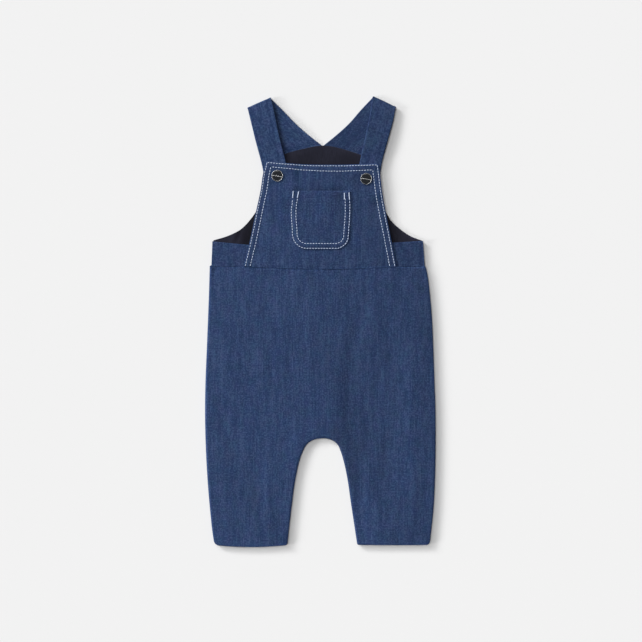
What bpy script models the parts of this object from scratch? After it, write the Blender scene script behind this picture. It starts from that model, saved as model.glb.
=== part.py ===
"""Kids dungarees for a baby of 6 to 9 months, laid flat with the front up.

The sizes below are millimetres. The model is in metres, with +Z up, +Y towards the shoulders and
+X to the right of someone who looks down at the garment. The origin is the middle of its outline,
on the surface that it lies on.

Each piece is cut as its real pattern piece: an open sheet, laid over the pieces below it, with
Solidify for the thickness of the cloth. Neighbours keep SEAM_GAP between them.
"""

import math
from collections import namedtuple

import bmesh
import bpy
import numpy as np

MM = 0.001

# Cloth and trim
DENIM = 1.2
JERSEY = 1.0
STRAP_WALL = 1.8
SEAM_GAP = 0.3

# Lengths along the garment
HEM_Y = -258.6
WAIST_Y = 63.0
WAIST_SAG = 2.8
WAIST_SAG_REACH = 86.0
CENTRE_X = 1.8
CROTCH_UP = 124.6

# Heights above the surface of the middle of each cloth wall
BACK_Z = DENIM / 2
LINING_Z = DENIM + SEAM_GAP + JERSEY / 2
ON_LINING = LINING_Z + JERSEY / 2 + SEAM_GAP
BAND_Z = ON_LINING + DENIM / 2
STRAP_END_Z = ON_LINING + STRAP_WALL / 2
BIB_Z = 4.4
BIB_ON_BAND_Z = BAND_Z + DENIM + SEAM_GAP
BIB_ON_STRAP_Z = STRAP_END_Z + STRAP_WALL / 2 + SEAM_GAP + DENIM / 2 + 0.1
FRONT_EDGE_Z = DENIM + SEAM_GAP + DENIM / 2
FRONT_RISE = 2.2
EDGE_ROLL = 1.8
HEM_ROLL_DEPTH = 1.0
FOLD_MARGIN = 8.0
WAIST_BLEND = 22.0

# Side edges of the trousers: how far above the hem, and how far left and right of the origin
Side = namedtuple("Side", "up left right")
TROUSER_SIDES = (
    Side(0.0, 122.0, 125.3),
    Side(19.0, 124.7, 127.4),
    Side(42.0, 127.0, 129.7),
    Side(88.0, 130.6, 131.8),
    Side(117.0, 132.0, 132.3),
    Side(157.0, 132.8, 132.1),
    Side(192.0, 132.2, 130.9),
    Side(226.0, 130.8, 129.7),
    Side(261.0, 129.4, 128.2),
    Side(295.0, 128.1, 125.2),
    Side(312.0, 127.6, 123.0),
    Side(321.6, 127.3, 120.8),
)

# The gap between the legs: how far above the hem, and how far from the centre line
Inseam = namedtuple("Inseam", "up left right")
INSEAMS = (
    Inseam(CROTCH_UP, 0.0, 0.0),
    Inseam(123.0, 9.8, 10.5),
    Inseam(118.2, 17.3, 17.2),
    Inseam(109.5, 22.3, 21.4),
    Inseam(99.7, 25.8, 24.4),
    Inseam(80.0, 30.3, 28.7),
    Inseam(50.0, 34.5, 33.0),
    Inseam(0.0, 40.0, 40.3),
)

# Each leg's hem: how far its middle bulges below its corners, how high these are, and their radii
Hem = namedtuple("Hem", "bulge lift corner inner_corner")
HEMS = {"left": Hem(2.4, 2.2, 5.0, 2.4), "right": Hem(0.4, 2.4, 4.0, 2.0)}

# Where the rows of the trouser grid meet the inseam and the side seam, as a share of the rows
Row = namedtuple("Row", "share inseam side_up")
LEG_ROWS = (Row(0.0, 0.0, 0.0), Row(0.22, 0.62, 86.0), Row(0.52, 1.0, 156.0))

# Soft folds and fullness of the trouser front: a line, its bow, and its width and height
Fold = namedtuple("Fold", "x0 y0 x1 y1 bow width height")
FRONT_FOLDS = (
    Fold(29.0, -150.0, 31.0, -20.0, 2.0, 7.0, -0.8),
    Fold(26.0, -48.0, 50.0, 22.0, 3.0, 8.0, -0.6),
    Fold(64.0, -42.0, 82.0, 14.0, -2.0, 9.0, -0.5),
    Fold(46.0, -80.0, 50.0, -215.0, 3.0, 12.0, -0.8),
    Fold(92.0, 0.0, 94.0, -205.0, -3.0, 10.0, 0.5),
    Fold(55.0, -150.0, 60.0, -250.0, 2.0, 8.0, 0.5),
    Fold(113.0, 5.0, 117.0, -190.0, 3.0, 7.0, -0.6),
    Fold(104.0, 54.0, 120.0, 44.0, 0.0, 6.0, -0.5),
    Fold(-98.0, -170.0, -72.0, -215.0, 3.0, 9.0, -0.7),
    Fold(-52.0, -70.0, -44.0, -175.0, 3.0, 10.0, 0.6),
    Fold(-48.0, -190.0, -54.0, -252.0, 1.0, 8.0, -0.6),
    Fold(-92.0, 40.0, -100.0, -140.0, 4.0, 14.0, 0.4),
    Fold(0.0, 60.0, -8.0, -80.0, 3.0, 12.0, 0.5),
)

# Bib sides above the waist seam, and the line of its top edge
BIB_SIDES = (
    Side(0.0, 88.2, 87.2),
    Side(31.0, 80.8, 81.2),
    Side(64.4, 73.9, 74.6),
    Side(88.6, 68.7, 70.4),
    Side(106.0, 66.1, 68.3),
    Side(122.0, 62.4, 66.2),
)
Edge = namedtuple("Edge", "x y")
BIB_TOP = (
    Edge(-62.6, 184.2),
    Edge(-50.0, 183.0),
    Edge(-32.0, 181.5),
    Edge(-18.0, 180.7),
    Edge(0.0, 180.3),
    Edge(34.0, 180.4),
    Edge(66.4, 181.3),
)
BIB_CORNER = 2.5

# How the bib's height changes over what lies below it
BAND_COVER_X = 52.0
BAND_COVER_BLEND = 14.0
BAND_COVER_Y = 108.0
BAND_COVER_RISE = 12.0
STRAP_COVER = 15.5
STRAP_COVER_BLEND = 14.0

# Side bands: outer side edge, and the top edge from the side seam to below the bib
Band = namedtuple("Band", "waist_x top_x top_y inner_x inner_y")
SIDE_BANDS = {
    "left": Band(-125.4, -124.2, 92.4, -69.0, 86.9),
    "right": Band(119.8, 117.6, 92.9, 69.0, 90.1),
}

# Back bodice: each armhole from the side seam up to the strap seam, and the seam between them
ARMHOLES = {
    "left": (
        Edge(-123.2, 93.6),
        Edge(-105.6, 99.0),
        Edge(-92.6, 105.5),
        Edge(-80.8, 117.2),
        Edge(-72.4, 129.6),
        Edge(-66.0, 151.6),
        Edge(-59.0, 171.0),
        Edge(-49.2, 189.2),
    ),
    "right": (
        Edge(117.4, 92.8),
        Edge(101.8, 99.2),
        Edge(92.4, 105.6),
        Edge(80.4, 116.9),
        Edge(73.6, 129.6),
        Edge(67.6, 151.6),
        Edge(61.0, 171.0),
        Edge(52.4, 189.2),
    ),
}
STRAP_SEAM = (
    Edge(-49.2, 189.2),
    Edge(-37.9, 193.4),
    Edge(-20.0, 198.2),
    Edge(-5.5, 201.2),
    Edge(2.5, 201.9),
    Edge(11.6, 201.2),
    Edge(28.0, 197.2),
    Edge(46.0, 191.4),
    Edge(52.4, 189.2),
)

# Share of the back's rows below the armholes, and of those that follow the seam between the straps
SIDE_EDGE_ROWS = 0.25
SEAM_RISE_ROWS = 0.7

# Straps, from the back seam over the shoulder fold to the snap: the neck edge and the arm edge,
# and the height of the wall's middle
StrapLine = namedtuple("StrapLine", "neck_x neck_y arm_x arm_y height")
STRAP_BACK = {
    "left": (
        StrapLine(2.2, 201.9, -49.2, 189.2, 0.9),
        StrapLine(-14.4, 215.0, -57.2, 205.2, 0.9),
        StrapLine(-29.9, 228.8, -66.0, 219.6, 0.9),
        StrapLine(-43.1, 242.6, -74.6, 232.0, 0.9),
        StrapLine(-56.4, 255.8, -83.4, 243.8, 0.9),
    ),
    "right": (
        StrapLine(2.8, 201.9, 52.4, 189.2, 0.9),
        StrapLine(18.9, 215.0, 61.6, 205.2, 0.9),
        StrapLine(33.8, 228.8, 70.6, 219.4, 0.9),
        StrapLine(45.7, 242.6, 78.4, 231.6, 0.9),
        StrapLine(59.4, 257.2, 86.2, 244.6, 0.9),
    ),
}
STRAP_FRONT = {
    "left": (
        StrapLine(-56.4, 255.8, -83.4, 243.8, 3.7),
        StrapLine(-52.9, 240.4, -80.3, 231.2, 4.7),
        StrapLine(-47.9, 216.2, -75.0, 209.4, 5.2),
        StrapLine(-40.6, 187.0, -67.6, 181.4, 4.0),
        StrapLine(-36.0, 166.6, -63.0, 160.4, STRAP_END_Z),
        StrapLine(-34.2, 159.6, -60.8, 153.6, STRAP_END_Z),
    ),
    "right": (
        StrapLine(59.4, 257.2, 86.2, 244.6, 3.7),
        StrapLine(57.0, 240.4, 83.6, 231.6, 4.2),
        StrapLine(52.2, 216.2, 77.6, 209.4, 4.7),
        StrapLine(45.8, 187.0, 70.3, 181.4, 4.0),
        StrapLine(41.8, 166.6, 67.0, 160.4, STRAP_END_Z),
        StrapLine(40.0, 159.6, 65.2, 153.6, STRAP_END_Z),
    ),
}
FOLD_RADIUS = 1.4

# Share of the strap's rows on the back, and where the shoulder fold ends
STRAP_BACK_ROWS = 0.38
STRAP_FOLD_ROWS = 0.52

# Patch pocket on the bib: its sides above its bottom edge
POCKET_SIDES = (
    Side(0.0, 32.8, 31.9),
    Side(24.0, 33.6, 33.6),
    Side(42.5, 34.7, 34.8),
    Side(56.0, 33.2, 34.7),
    Side(67.4, 31.5, 34.0),
)
POCKET_TOP_Y = 150.4
POCKET_BOTTOM_Y = 83.0
POCKET_CORNERS = {"left": 17.0, "right": 14.5}
POCKET_CORNER_ROWS = 0.4

# Press snaps: centre, and the slope of the bar across the cap
Snap = namedtuple("Snap", "x y bar_degrees")
SNAPS = {"left": Snap(-49.7, 167.4, -8.0), "right": Snap(52.3, 163.9, -8.5)}
SNAP_RADIUS = 6.5
SNAP_STEPS = 24
BAR_LENGTH = 12.0
BAR_WIDTH = 1.1
BAR_HEIGHT = 0.4
BAR_BOTTOM = 1.3

# Turned profiles of the snap, from the axis outwards: radius and height over the bib
Turn = namedtuple("Turn", "radius height")
SNAP_CUP = (
    Turn(0.0, 0.3),
    Turn(5.4, 0.3),
    Turn(5.5, 0.9),
    Turn(6.0, 1.4),
    Turn(6.3, 1.4),
    Turn(SNAP_RADIUS, 1.0),
    Turn(6.3, 0.4),
    Turn(5.6, 0.0),
    Turn(0.0, 0.0),
)
SNAP_FACE = (
    Turn(0.0, 1.0),
    Turn(3.2, 0.97),
    Turn(4.8, 0.9),
    Turn(5.1, 0.8),
    Turn(5.1, 0.6),
    Turn(0.0, 0.6),
)

# Faces across and along each piece's grid; a grid of the trousers covers half of them
Grid = namedtuple("Grid", "columns rows")
FRONT_TROUSERS_GRID = Grid(18, 46)
BACK_TROUSERS_GRID = Grid(6, 32)
BACK_GRID = Grid(10, 22)
BIB_GRID = Grid(18, 18)
POCKET_GRID = Grid(10, 11)
BAND_GRID = Grid(6, 3)
STRAP_GRID = Grid(4, 42)

# How far inside its edges the trousers' grid lines lie, and the length of a grid row and column
ROLL_LINES = (0.0, 0.6, EDGE_ROLL)
PLAIN_LINES = (0.0,)
ROW_LENGTH = 95.0
COLUMN_LENGTH = 300.0

# How far the lower layers end inside the edge of the layer above, so that it hides them
BACK_INSET = 0.6

# Colours, as linear light
DENIM_COLOUR = (0.035, 0.06, 0.15, 1.0)
JERSEY_COLOUR = (0.012, 0.012, 0.02, 1.0)
SILVER_COLOUR = (0.7, 0.7, 0.68, 1.0)
ENAMEL_COLOUR = (0.01, 0.01, 0.012, 1.0)


# Curves through the rows of a table


def smooth(knots, values, at):
    """The values at the given places of a smooth curve through (knots, values)."""
    knots = np.asarray(knots, float)
    values = np.asarray(values, float)
    slopes = np.gradient(values, knots)
    index = np.clip(np.searchsorted(knots, at) - 1, 0, len(knots) - 2)
    span = knots[index + 1] - knots[index]
    t = (at - knots[index]) / span
    start = (1 + 2 * t) * (1 - t) ** 2 * values[index]
    end = t * t * (3 - 2 * t) * values[index + 1]
    leave = t * (1 - t) ** 2 * span * slopes[index]
    arrive = t * t * (t - 1) * span * slopes[index + 1]
    return start + end + leave + arrive


def column(table, name):
    return np.array([getattr(row, name) for row in table], float)


def read(table, key, name, at):
    return smooth(column(table, key), column(table, name), at)


def lengths_along(points):
    steps = np.linalg.norm(np.diff(points, axis=0), axis=1)
    return np.concatenate([[0.0], np.cumsum(steps)])


def path_through(points, shares):
    """Points at these shares of the length of a smooth curve through the points."""
    points = np.asarray(points, float)
    knots = lengths_along(points)
    fine = np.linspace(0.0, knots[-1], 400)
    dense = np.stack([smooth(knots, axis, fine) for axis in points.T], axis=1)
    along = lengths_along(dense)
    return np.stack([np.interp(shares, along / along[-1], axis) for axis in dense.T], axis=1)


def ease(value):
    """0 to 1, with no corner at either end."""
    value = np.clip(value, 0.0, 1.0)
    return value * value * (3 - 2 * value)


def distance_to_path(x, y, path):
    """The distance of each point from the nearest stretch of a path."""
    start, end = path[:-1], path[1:]
    run = end - start
    offset_x = x[:, None] - start[:, 0]
    offset_y = y[:, None] - start[:, 1]
    share = (offset_x * run[:, 0] + offset_y * run[:, 1]) / np.maximum((run**2).sum(axis=1), 1e-9)
    share = np.clip(share, 0.0, 1.0)
    gap_x = offset_x - share * run[:, 0]
    gap_y = offset_y - share * run[:, 1]
    return np.sqrt(gap_x**2 + gap_y**2).min(axis=1)


# Outlines of the trousers


def waist_line(x):
    """The front waist seam, which hangs a little in the middle."""
    sag = np.clip(1 - ((x - CENTRE_X) / WAIST_SAG_REACH) ** 2, 0.0, 1.0)
    return WAIST_Y - WAIST_SAG * sag


def inseam_path(side):
    """Half of the arch between the legs, from the hem up to the crotch."""
    left = [(CENTRE_X - row.left, HEM_Y + row.up) for row in INSEAMS]
    right = [(CENTRE_X + row.right, HEM_Y + row.up) for row in INSEAMS]
    whole = path_through(left[::-1] + right[1:], np.linspace(0, 1, 401))
    crotch = int(np.argmax(whole[:, 1]))
    return whole[: crotch + 1] if side == "left" else whole[crotch:][::-1]


def side_x(side, up):
    sign = -1 if side == "left" else 1
    return sign * read(TROUSER_SIDES, "up", side, up)


def side_path(side):
    up = np.linspace(0.0, WAIST_Y - HEM_Y, 120)
    return np.stack([side_x(side, up), HEM_Y + up], axis=1)


def trouser_outline():
    """The sewn edges of the trousers: both side seams and the arch."""
    arch = np.concatenate([inseam_path("left"), inseam_path("right")[::-1]])
    return side_path("left"), side_path("right"), arch[::8]


def hem_paths():
    """The bottom edge of each leg."""
    u = np.linspace(0.0, 1.0, 40)
    return [np.stack(trouser_half(side, 0.0, waist_line)(u, 0 * u), axis=1) for side in ("left", "right")]


def trouser_half(side, inset, top_line):
    """Places for a grid over one half: u runs from the side seam to the middle, v up the leg."""
    inseam = inseam_path(side)
    inseam_along = lengths_along(inseam)
    inseam_share = inseam_along / inseam_along[-1]
    hem = HEMS[side]
    sign = -1 if side == "left" else 1

    def place(u, v):
        shares = column(LEG_ROWS, "share")
        last = LEG_ROWS[-1]
        on_leg = v <= last.share + 1e-9
        upper = np.clip((v - last.share) / (1 - last.share), 0.0, 1.0)
        inner_share = np.interp(v, shares, column(LEG_ROWS, "inseam"))
        inner_x = np.interp(inner_share, inseam_share, inseam[:, 0]) + sign * inset * on_leg
        inner_y = np.interp(inner_share, inseam_share, inseam[:, 1])
        crotch_y = HEM_Y + CROTCH_UP + inset
        inner_x = np.where(on_leg, inner_x, CENTRE_X)
        inner_x = np.where(v == last.share, CENTRE_X, inner_x)
        inner_y = np.where(v < last.share, inner_y, crotch_y + upper * (WAIST_Y - crotch_y))
        leg_up = np.interp(v, shares, column(LEG_ROWS, "side_up"))
        outer_up = leg_up + upper * (WAIST_Y - HEM_Y - last.side_up)
        outer_x = side_x(side, outer_up) - sign * inset
        x = outer_x + (inner_x - outer_x) * u
        y = HEM_Y + outer_up + (inner_y - HEM_Y - outer_up) * u
        near_hem = ease(1 - v / LEG_ROWS[1].share)
        y = y + near_hem * (hem.lift - 4 * hem.bulge * u * (1 - u))
        x, y = round_corner(x, y, outer_x, HEM_Y + hem.lift, -sign, 1, hem.corner)
        x, y = round_corner(x, y, inner_x, HEM_Y + hem.lift, sign, 1, hem.inner_corner)
        y = y + ease(upper * 2 - 1) * (top_line(x) - SEAM_GAP / 2 - WAIST_Y)
        return x, y

    return place


def round_corner(x, y, edge_x, edge_y, inward_x, inward_y, radius):
    """Draws the square corner at (edge_x, edge_y) in to a quarter circle."""
    across = (x - edge_x) * inward_x / radius
    along = (y - edge_y) * inward_y / radius
    inside = (across < 1) & (along < 1)
    p = np.where(inside, 1 - np.clip(across, 0, 1), 0.0)
    q = np.where(inside, 1 - np.clip(along, 0, 1), 0.0)
    shift_x = p * (1 - np.sqrt(1 - q * q / 2)) * radius
    shift_y = q * (1 - np.sqrt(1 - p * p / 2)) * radius
    return x + inward_x * shift_x, y + inward_y * shift_y


# Heights of the pieces


def fold_heights(folds, x, y):
    """How far the folds lift or sink the cloth at each point."""
    total = np.zeros_like(x)
    for fold in folds:
        run_x, run_y = fold.x1 - fold.x0, fold.y1 - fold.y0
        length = math.hypot(run_x, run_y)
        along = ((x - fold.x0) * run_x + (y - fold.y0) * run_y) / length**2
        across = ((x - fold.x0) * run_y - (y - fold.y0) * run_x) / length
        across = across - fold.bow * 4 * along * (1 - along)
        fade = ease(along / 0.3) * ease((1 - along) / 0.3)
        total += fold.height * np.exp(-((across / fold.width) ** 2)) * fade
    return total


def rounded(distance, radius):
    """Rises from 0 at the edge to 1 at the radius, as a quarter circle does."""
    return np.sqrt(1 - (1 - np.clip(distance / radius, 0.0, 1.0)) ** 2)


def trouser_front_height(x, y):
    near_side = np.min([distance_to_path(x, y, path) for path in trouser_outline()], axis=0)
    near_hem = np.min([distance_to_path(x, y, path) for path in hem_paths()], axis=0)
    rise = FRONT_RISE * rounded(near_side, EDGE_ROLL)
    drop = HEM_ROLL_DEPTH * (1 - rounded(near_hem, EDGE_ROLL)) * rounded(near_side, EDGE_ROLL)
    inside = ease(np.minimum(near_side, near_hem) / FOLD_MARGIN)
    return FRONT_EDGE_Z + rise - drop + fold_heights(FRONT_FOLDS, x, y) * inside


def strap_cover(side):
    """The stretch of a strap that lies below the bib, as its middle line."""
    rows = STRAP_FRONT[side][3:]
    return np.array([((r.neck_x + r.arm_x) / 2, (r.neck_y + r.arm_y) / 2) for r in rows])


def bib_height(x, y):
    """The bib lies over the side bands at the bottom and over the straps at its top corners."""
    sideways = ease((np.abs(x) - BAND_COVER_X) / BAND_COVER_BLEND)
    on_band = sideways * ease((BAND_COVER_Y - y) / BAND_COVER_RISE)
    height = BIB_Z + (BIB_ON_BAND_Z - BIB_Z) * on_band
    for side in ("left", "right"):
        beside = distance_to_path(x, y, strap_cover(side)) - STRAP_COVER
        height = height + (BIB_ON_STRAP_Z - BIB_Z) * ease(1 - beside / STRAP_COVER_BLEND)
    to_waist = ease((y - WAIST_Y) / WAIST_BLEND)
    return height + (1 - to_waist) * (1 - sideways) * (FRONT_EDGE_Z + FRONT_RISE - BIB_Z)


# Places of the other pieces


def bib_place(u, v):
    top = column(BIB_TOP, "x"), column(BIB_TOP, "y")
    rough_up = v * BIB_SIDES[-1].up
    for _ in range(3):
        left = -read(BIB_SIDES, "up", "left", rough_up)
        right = read(BIB_SIDES, "up", "right", rough_up)
        x = left + (right - left) * u
        low = waist_line(x) + SEAM_GAP / 2
        high = smooth(*top, np.clip(x, top[0][0], top[0][-1]))
        y = low + (high - low) * v
        rough_up = np.clip(y - WAIST_Y, 0.0, BIB_SIDES[-1].up)
    x, y = round_corner(x, y, left, BIB_TOP[0].y, 1, -1, BIB_CORNER)
    x, y = round_corner(x, y, right, BIB_TOP[-1].y, -1, -1, BIB_CORNER)
    return np.stack([x, y, bib_height(x, y)], axis=1)


def band_place(side):
    band = SIDE_BANDS[side]

    def place(u, v):
        outer = band.waist_x + (band.top_x - band.waist_x) * v
        x = outer + (band.inner_x - outer) * u
        high = band.top_y + (band.inner_y - band.top_y) * u
        low = waist_line(x) + SEAM_GAP / 2
        return np.stack([x, low + (high - low) * v, np.full_like(x, BAND_Z)], axis=1)

    return place


def back_edge(side, v):
    """The back's side edge up to the armhole, then the armhole up to the strap seam."""
    corner = ARMHOLES[side][0]
    seam = (SIDE_BANDS[side].waist_x, WAIST_Y + SEAM_GAP / 2)
    lower = np.clip(v / SIDE_EDGE_ROWS, 0.0, 1.0)
    upper = np.clip((v - SIDE_EDGE_ROWS) / (1 - SIDE_EDGE_ROWS), 0.0, 1.0)
    armhole = path_through(ARMHOLES[side], upper)
    x = np.where(v < SIDE_EDGE_ROWS, seam[0] + (corner.x - seam[0]) * lower, armhole[:, 0])
    y = np.where(v < SIDE_EDGE_ROWS, seam[1] + (corner.y - seam[1]) * lower, armhole[:, 1])
    return x, y


def back_place(height, inset):
    top = column(STRAP_SEAM, "x"), column(STRAP_SEAM, "y")

    def place(u, v):
        left_x, left_y = back_edge("left", v)
        right_x, right_y = back_edge("right", v)
        left_x, right_x = left_x + inset, right_x - inset
        x = left_x + (right_x - left_x) * u
        y = left_y + (right_y - left_y) * u
        rise = smooth(*top, np.clip(x, top[0][0], top[0][-1])) - STRAP_SEAM[0].y - SEAM_GAP / 2
        y = y + rise * ease((v + SEAM_RISE_ROWS - 1) / SEAM_RISE_ROWS)
        return np.stack([x, y, np.full_like(x, height)], axis=1)

    return place


def strap_line(rows, share):
    """Neck edge, arm edge and height at each share of a stretch of strap."""
    table = np.array(rows, float)
    middle = (table[:, 0:2] + table[:, 2:4]) / 2
    knots = lengths_along(middle) / lengths_along(middle)[-1]
    return [smooth(knots, table[:, i], share) for i in range(5)]


def strap_place(side):
    """A ribbon: v runs up the back, round the shoulder fold and down the front."""
    fold = STRAP_BACK[side][-1]
    fold_run = np.array([fold.arm_x - fold.neck_x, fold.arm_y - fold.neck_y])
    outward = np.array([fold_run[1], -fold_run[0]]) / np.linalg.norm(fold_run)
    outward = outward * math.copysign(1.0, outward[1])
    seam = column(STRAP_SEAM, "x"), column(STRAP_SEAM, "y")

    def place(u, v):
        back = strap_line(STRAP_BACK[side], np.clip(v / STRAP_BACK_ROWS, 0, 1))
        front = strap_line(STRAP_FRONT[side], np.clip((v - STRAP_FOLD_ROWS) / (1 - STRAP_FOLD_ROWS), 0, 1))
        on_front = v > (STRAP_BACK_ROWS + STRAP_FOLD_ROWS) / 2
        neck_x, neck_y, arm_x, arm_y, height = (np.where(on_front, f, b) for f, b in zip(front, back))
        turn = np.clip((v - STRAP_BACK_ROWS) / (STRAP_FOLD_ROWS - STRAP_BACK_ROWS), 0, 1) * math.pi
        reach = FOLD_RADIUS * np.sin(turn)
        lift = FOLD_RADIUS * (1 - np.cos(turn))
        folding = (turn > 0) & (turn < math.pi)
        x = neck_x + (arm_x - neck_x) * u + outward[0] * reach
        y = neck_y + (arm_y - neck_y) * u + outward[1] * reach
        z = np.where(folding, STRAP_BACK[side][-1].height + lift, height)
        end = STRAP_BACK[side][0]
        end_x = end.neck_x + (end.arm_x - end.neck_x) * u
        end_y = end.neck_y + (end.arm_y - end.neck_y) * u
        to_seam = smooth(*seam, end_x) + SEAM_GAP / 2 - end_y
        y = y + to_seam * ease(1 - 2 * v / STRAP_BACK_ROWS)
        return np.stack([x, y, z], axis=1)

    return place


def pocket_side(side, v):
    """One side of the pocket from its bottom edge, round the corner and up to the mouth."""
    corner = POCKET_CORNERS[side]
    turn = np.clip(v / POCKET_CORNER_ROWS, 0.0, 1.0) * math.pi / 2
    straight = np.clip((v - POCKET_CORNER_ROWS) / (1 - POCKET_CORNER_ROWS), 0.0, 1.0)
    corner_top = POCKET_BOTTOM_Y + corner
    y = corner_top - corner * np.cos(turn) + straight * (POCKET_TOP_Y - corner_top)
    up = np.clip(y - POCKET_BOTTOM_Y, 0.0, POCKET_SIDES[-1].up)
    sign = -1 if side == "left" else 1
    return sign * (read(POCKET_SIDES, "up", side, up) - corner * (1 - np.sin(turn))), y


def pocket_place(u, v):
    """A patch with a straight mouth and two round lower corners."""
    left_x, left_y = pocket_side("left", v)
    right_x, right_y = pocket_side("right", v)
    x, y = left_x + (right_x - left_x) * u, left_y + (right_y - left_y) * u
    return np.stack([x, y, bib_height(x, y) + DENIM + SEAM_GAP], axis=1)


# Blender objects


def clear_scene():
    for item in list(bpy.data.objects):
        bpy.data.objects.remove(item, do_unlink=True)


def make_material(name, colour, roughness, metallic=0.0):
    material = bpy.data.materials.new(name)
    material.use_nodes = True
    shader = material.node_tree.nodes["Principled BSDF"]
    shader.inputs["Base Color"].default_value = colour
    shader.inputs["Roughness"].default_value = roughness
    shader.inputs["Metallic"].default_value = metallic
    return material


def make_object(name, mesh_data, material, collection):
    item = bpy.data.objects.new(name, mesh_data)
    collection.objects.link(item)
    mesh_data.materials.append(material)
    return item


def make_sheet(name, grid, places, wall, material, collection):
    """A cloth piece: a grid laid in each place, joined, and thickened evenly to both sides."""
    shape = bmesh.new()
    for place in places:
        made = bmesh.ops.create_grid(shape, x_segments=grid.columns, y_segments=grid.rows, size=0.5)
        verts = made["verts"]
        u = np.array([vert.co.x for vert in verts]) + 0.5
        v = np.array([vert.co.y for vert in verts]) + 0.5
        for vert, point in zip(verts, place(u, v) * MM):
            vert.co = point
    bmesh.ops.remove_doubles(shape, verts=shape.verts, dist=1e-6)
    mesh_data = bpy.data.meshes.new(name)
    shape.to_mesh(mesh_data)
    shape.free()
    item = make_object(name, mesh_data, material, collection)
    thicken = item.modifiers.new("Cloth thickness", "SOLIDIFY")
    thicken.thickness = wall * MM
    thicken.offset = 0.0
    thicken.use_even_offset = True
    return item


def with_height(place, height):
    def raised(u, v):
        x, y = place(u, v)
        return np.stack([x, y, height(x, y)], axis=1)

    return raised


def narrowed(count, lines, length):
    """Even steps from 0 to 1, but for the lines that lie this far inside both ends of the length."""
    first = np.array(lines) / length
    middle = np.linspace(first[-1], 1 - first[-1], count + 3 - 2 * len(lines))
    return np.concatenate([first[:-1], middle, 1 - first[:-1][::-1]])


def beside_edges(place, grid, lines):
    """Draws the first grid lines along the seams and the hem to these distances from them."""
    columns = narrowed(grid.columns, lines, ROW_LENGTH)
    rows = narrowed(grid.rows, lines, COLUMN_LENGTH)

    def drawn(u, v):
        u = np.interp(u, np.linspace(0, 1, grid.columns + 1), columns)
        v = np.interp(v, np.linspace(0, 1, grid.rows + 1), rows)
        return place(u, v)

    return drawn


def mirror_columns(place):
    """Right halves run from the middle out to the side, so that their faces point up too."""
    return lambda u, v: place(1 - u, v)


def make_trousers(name, grid, lines, inset, top_line, height, material, collection):
    halves = [beside_edges(trouser_half(side, inset, top_line), grid, lines) for side in ("left", "right")]
    left = with_height(halves[0], height)
    right = with_height(mirror_columns(halves[1]), height)
    return make_sheet(name, grid, (left, right), DENIM, material, collection)


def turned(name, profile, material, collection):
    """A turned piece: the profile swept round +Z with a Screw modifier."""
    mesh_data = bpy.data.meshes.new(name)
    points = [(turn.radius * MM, 0.0, turn.height * MM) for turn in profile]
    edges = [(i, i + 1) for i in range(len(points) - 1)]
    mesh_data.from_pydata(points, edges, [])
    item = make_object(name, mesh_data, material, collection)
    sweep = item.modifiers.new("Turn", "SCREW")
    sweep.steps = sweep.render_steps = SNAP_STEPS
    sweep.use_merge_vertices = True
    sweep.merge_threshold = 0.00001
    return item


def make_snap(side, silver, enamel, collection, cutters):
    """A press snap: a metal cup with a bar across it, and an enamel face below the bar."""
    snap = SNAPS[side]
    base = bib_height(np.array([snap.x]), np.array([snap.y]))[0] + DENIM / 2 + SEAM_GAP
    centre = (snap.x * MM, snap.y * MM, base * MM)
    cup = turned("snap_cup_" + side, SNAP_CUP, silver, collection)
    cup.location = centre
    face = turned("snap_face_" + side, SNAP_FACE, enamel, collection)
    face.location = centre
    bpy.ops.mesh.primitive_cube_add(size=1.0)
    bar = bpy.context.object
    bar.name = "snap_bar_" + side
    scale = (BAR_LENGTH * MM, BAR_WIDTH * MM, BAR_HEIGHT * MM)
    for vert in bar.data.vertices:
        vert.co = [part * size for part, size in zip(vert.co, scale)]
    bar.location = (centre[0], centre[1], centre[2] + (BAR_BOTTOM + BAR_HEIGHT / 2) * MM)
    bar.rotation_euler.z = math.radians(snap.bar_degrees)
    bar.hide_render = True
    bar.display_type = "WIRE"
    for owner in bar.users_collection:
        owner.objects.unlink(bar)
    cutters.objects.link(bar)
    join = cup.modifiers.new("Bar", "BOOLEAN")
    join.operation = "UNION"
    join.object = bar


def main():
    clear_scene()
    collection = bpy.data.collections.new("Kids dungarees")
    cutters = bpy.data.collections.new("Snap bars")
    bpy.context.scene.collection.children.link(collection)
    bpy.context.scene.collection.children.link(cutters)
    denim = make_material("Denim", DENIM_COLOUR, 0.85)
    jersey = make_material("Jersey", JERSEY_COLOUR, 0.9)
    silver = make_material("Silver metal", SILVER_COLOUR, 0.25, 1.0)
    enamel = make_material("Black enamel", ENAMEL_COLOUR, 0.2)

    def flat(x, y):
        return np.full_like(x, BACK_Z)

    def straight(x):
        return np.full_like(x, WAIST_Y)

    front = (FRONT_TROUSERS_GRID, ROLL_LINES, 0.0, waist_line, trouser_front_height)
    make_trousers("front_trousers", *front, denim, collection)
    back = (BACK_TROUSERS_GRID, PLAIN_LINES, BACK_INSET, straight, flat)
    make_trousers("back_trousers", *back, denim, collection)
    bodice = back_place(BACK_Z, BACK_INSET)
    lining = back_place(LINING_Z, 0.0)
    bands = {"left": band_place("left"), "right": mirror_columns(band_place("right"))}
    make_sheet("back_bodice", BACK_GRID, (bodice,), DENIM, denim, collection)
    make_sheet("back_lining", BACK_GRID, (lining,), JERSEY, jersey, collection)
    make_sheet("bib", BIB_GRID, (bib_place,), DENIM, denim, collection)
    make_sheet("pocket", POCKET_GRID, (pocket_place,), DENIM, denim, collection)
    for side in ("left", "right"):
        make_sheet("side_band_" + side, BAND_GRID, (bands[side],), DENIM, denim, collection)
        strap = strap_place(side)
        make_sheet("strap_" + side, STRAP_GRID, (strap,), STRAP_WALL, denim, collection)
        make_snap(side, silver, enamel, collection, cutters)


main()
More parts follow.
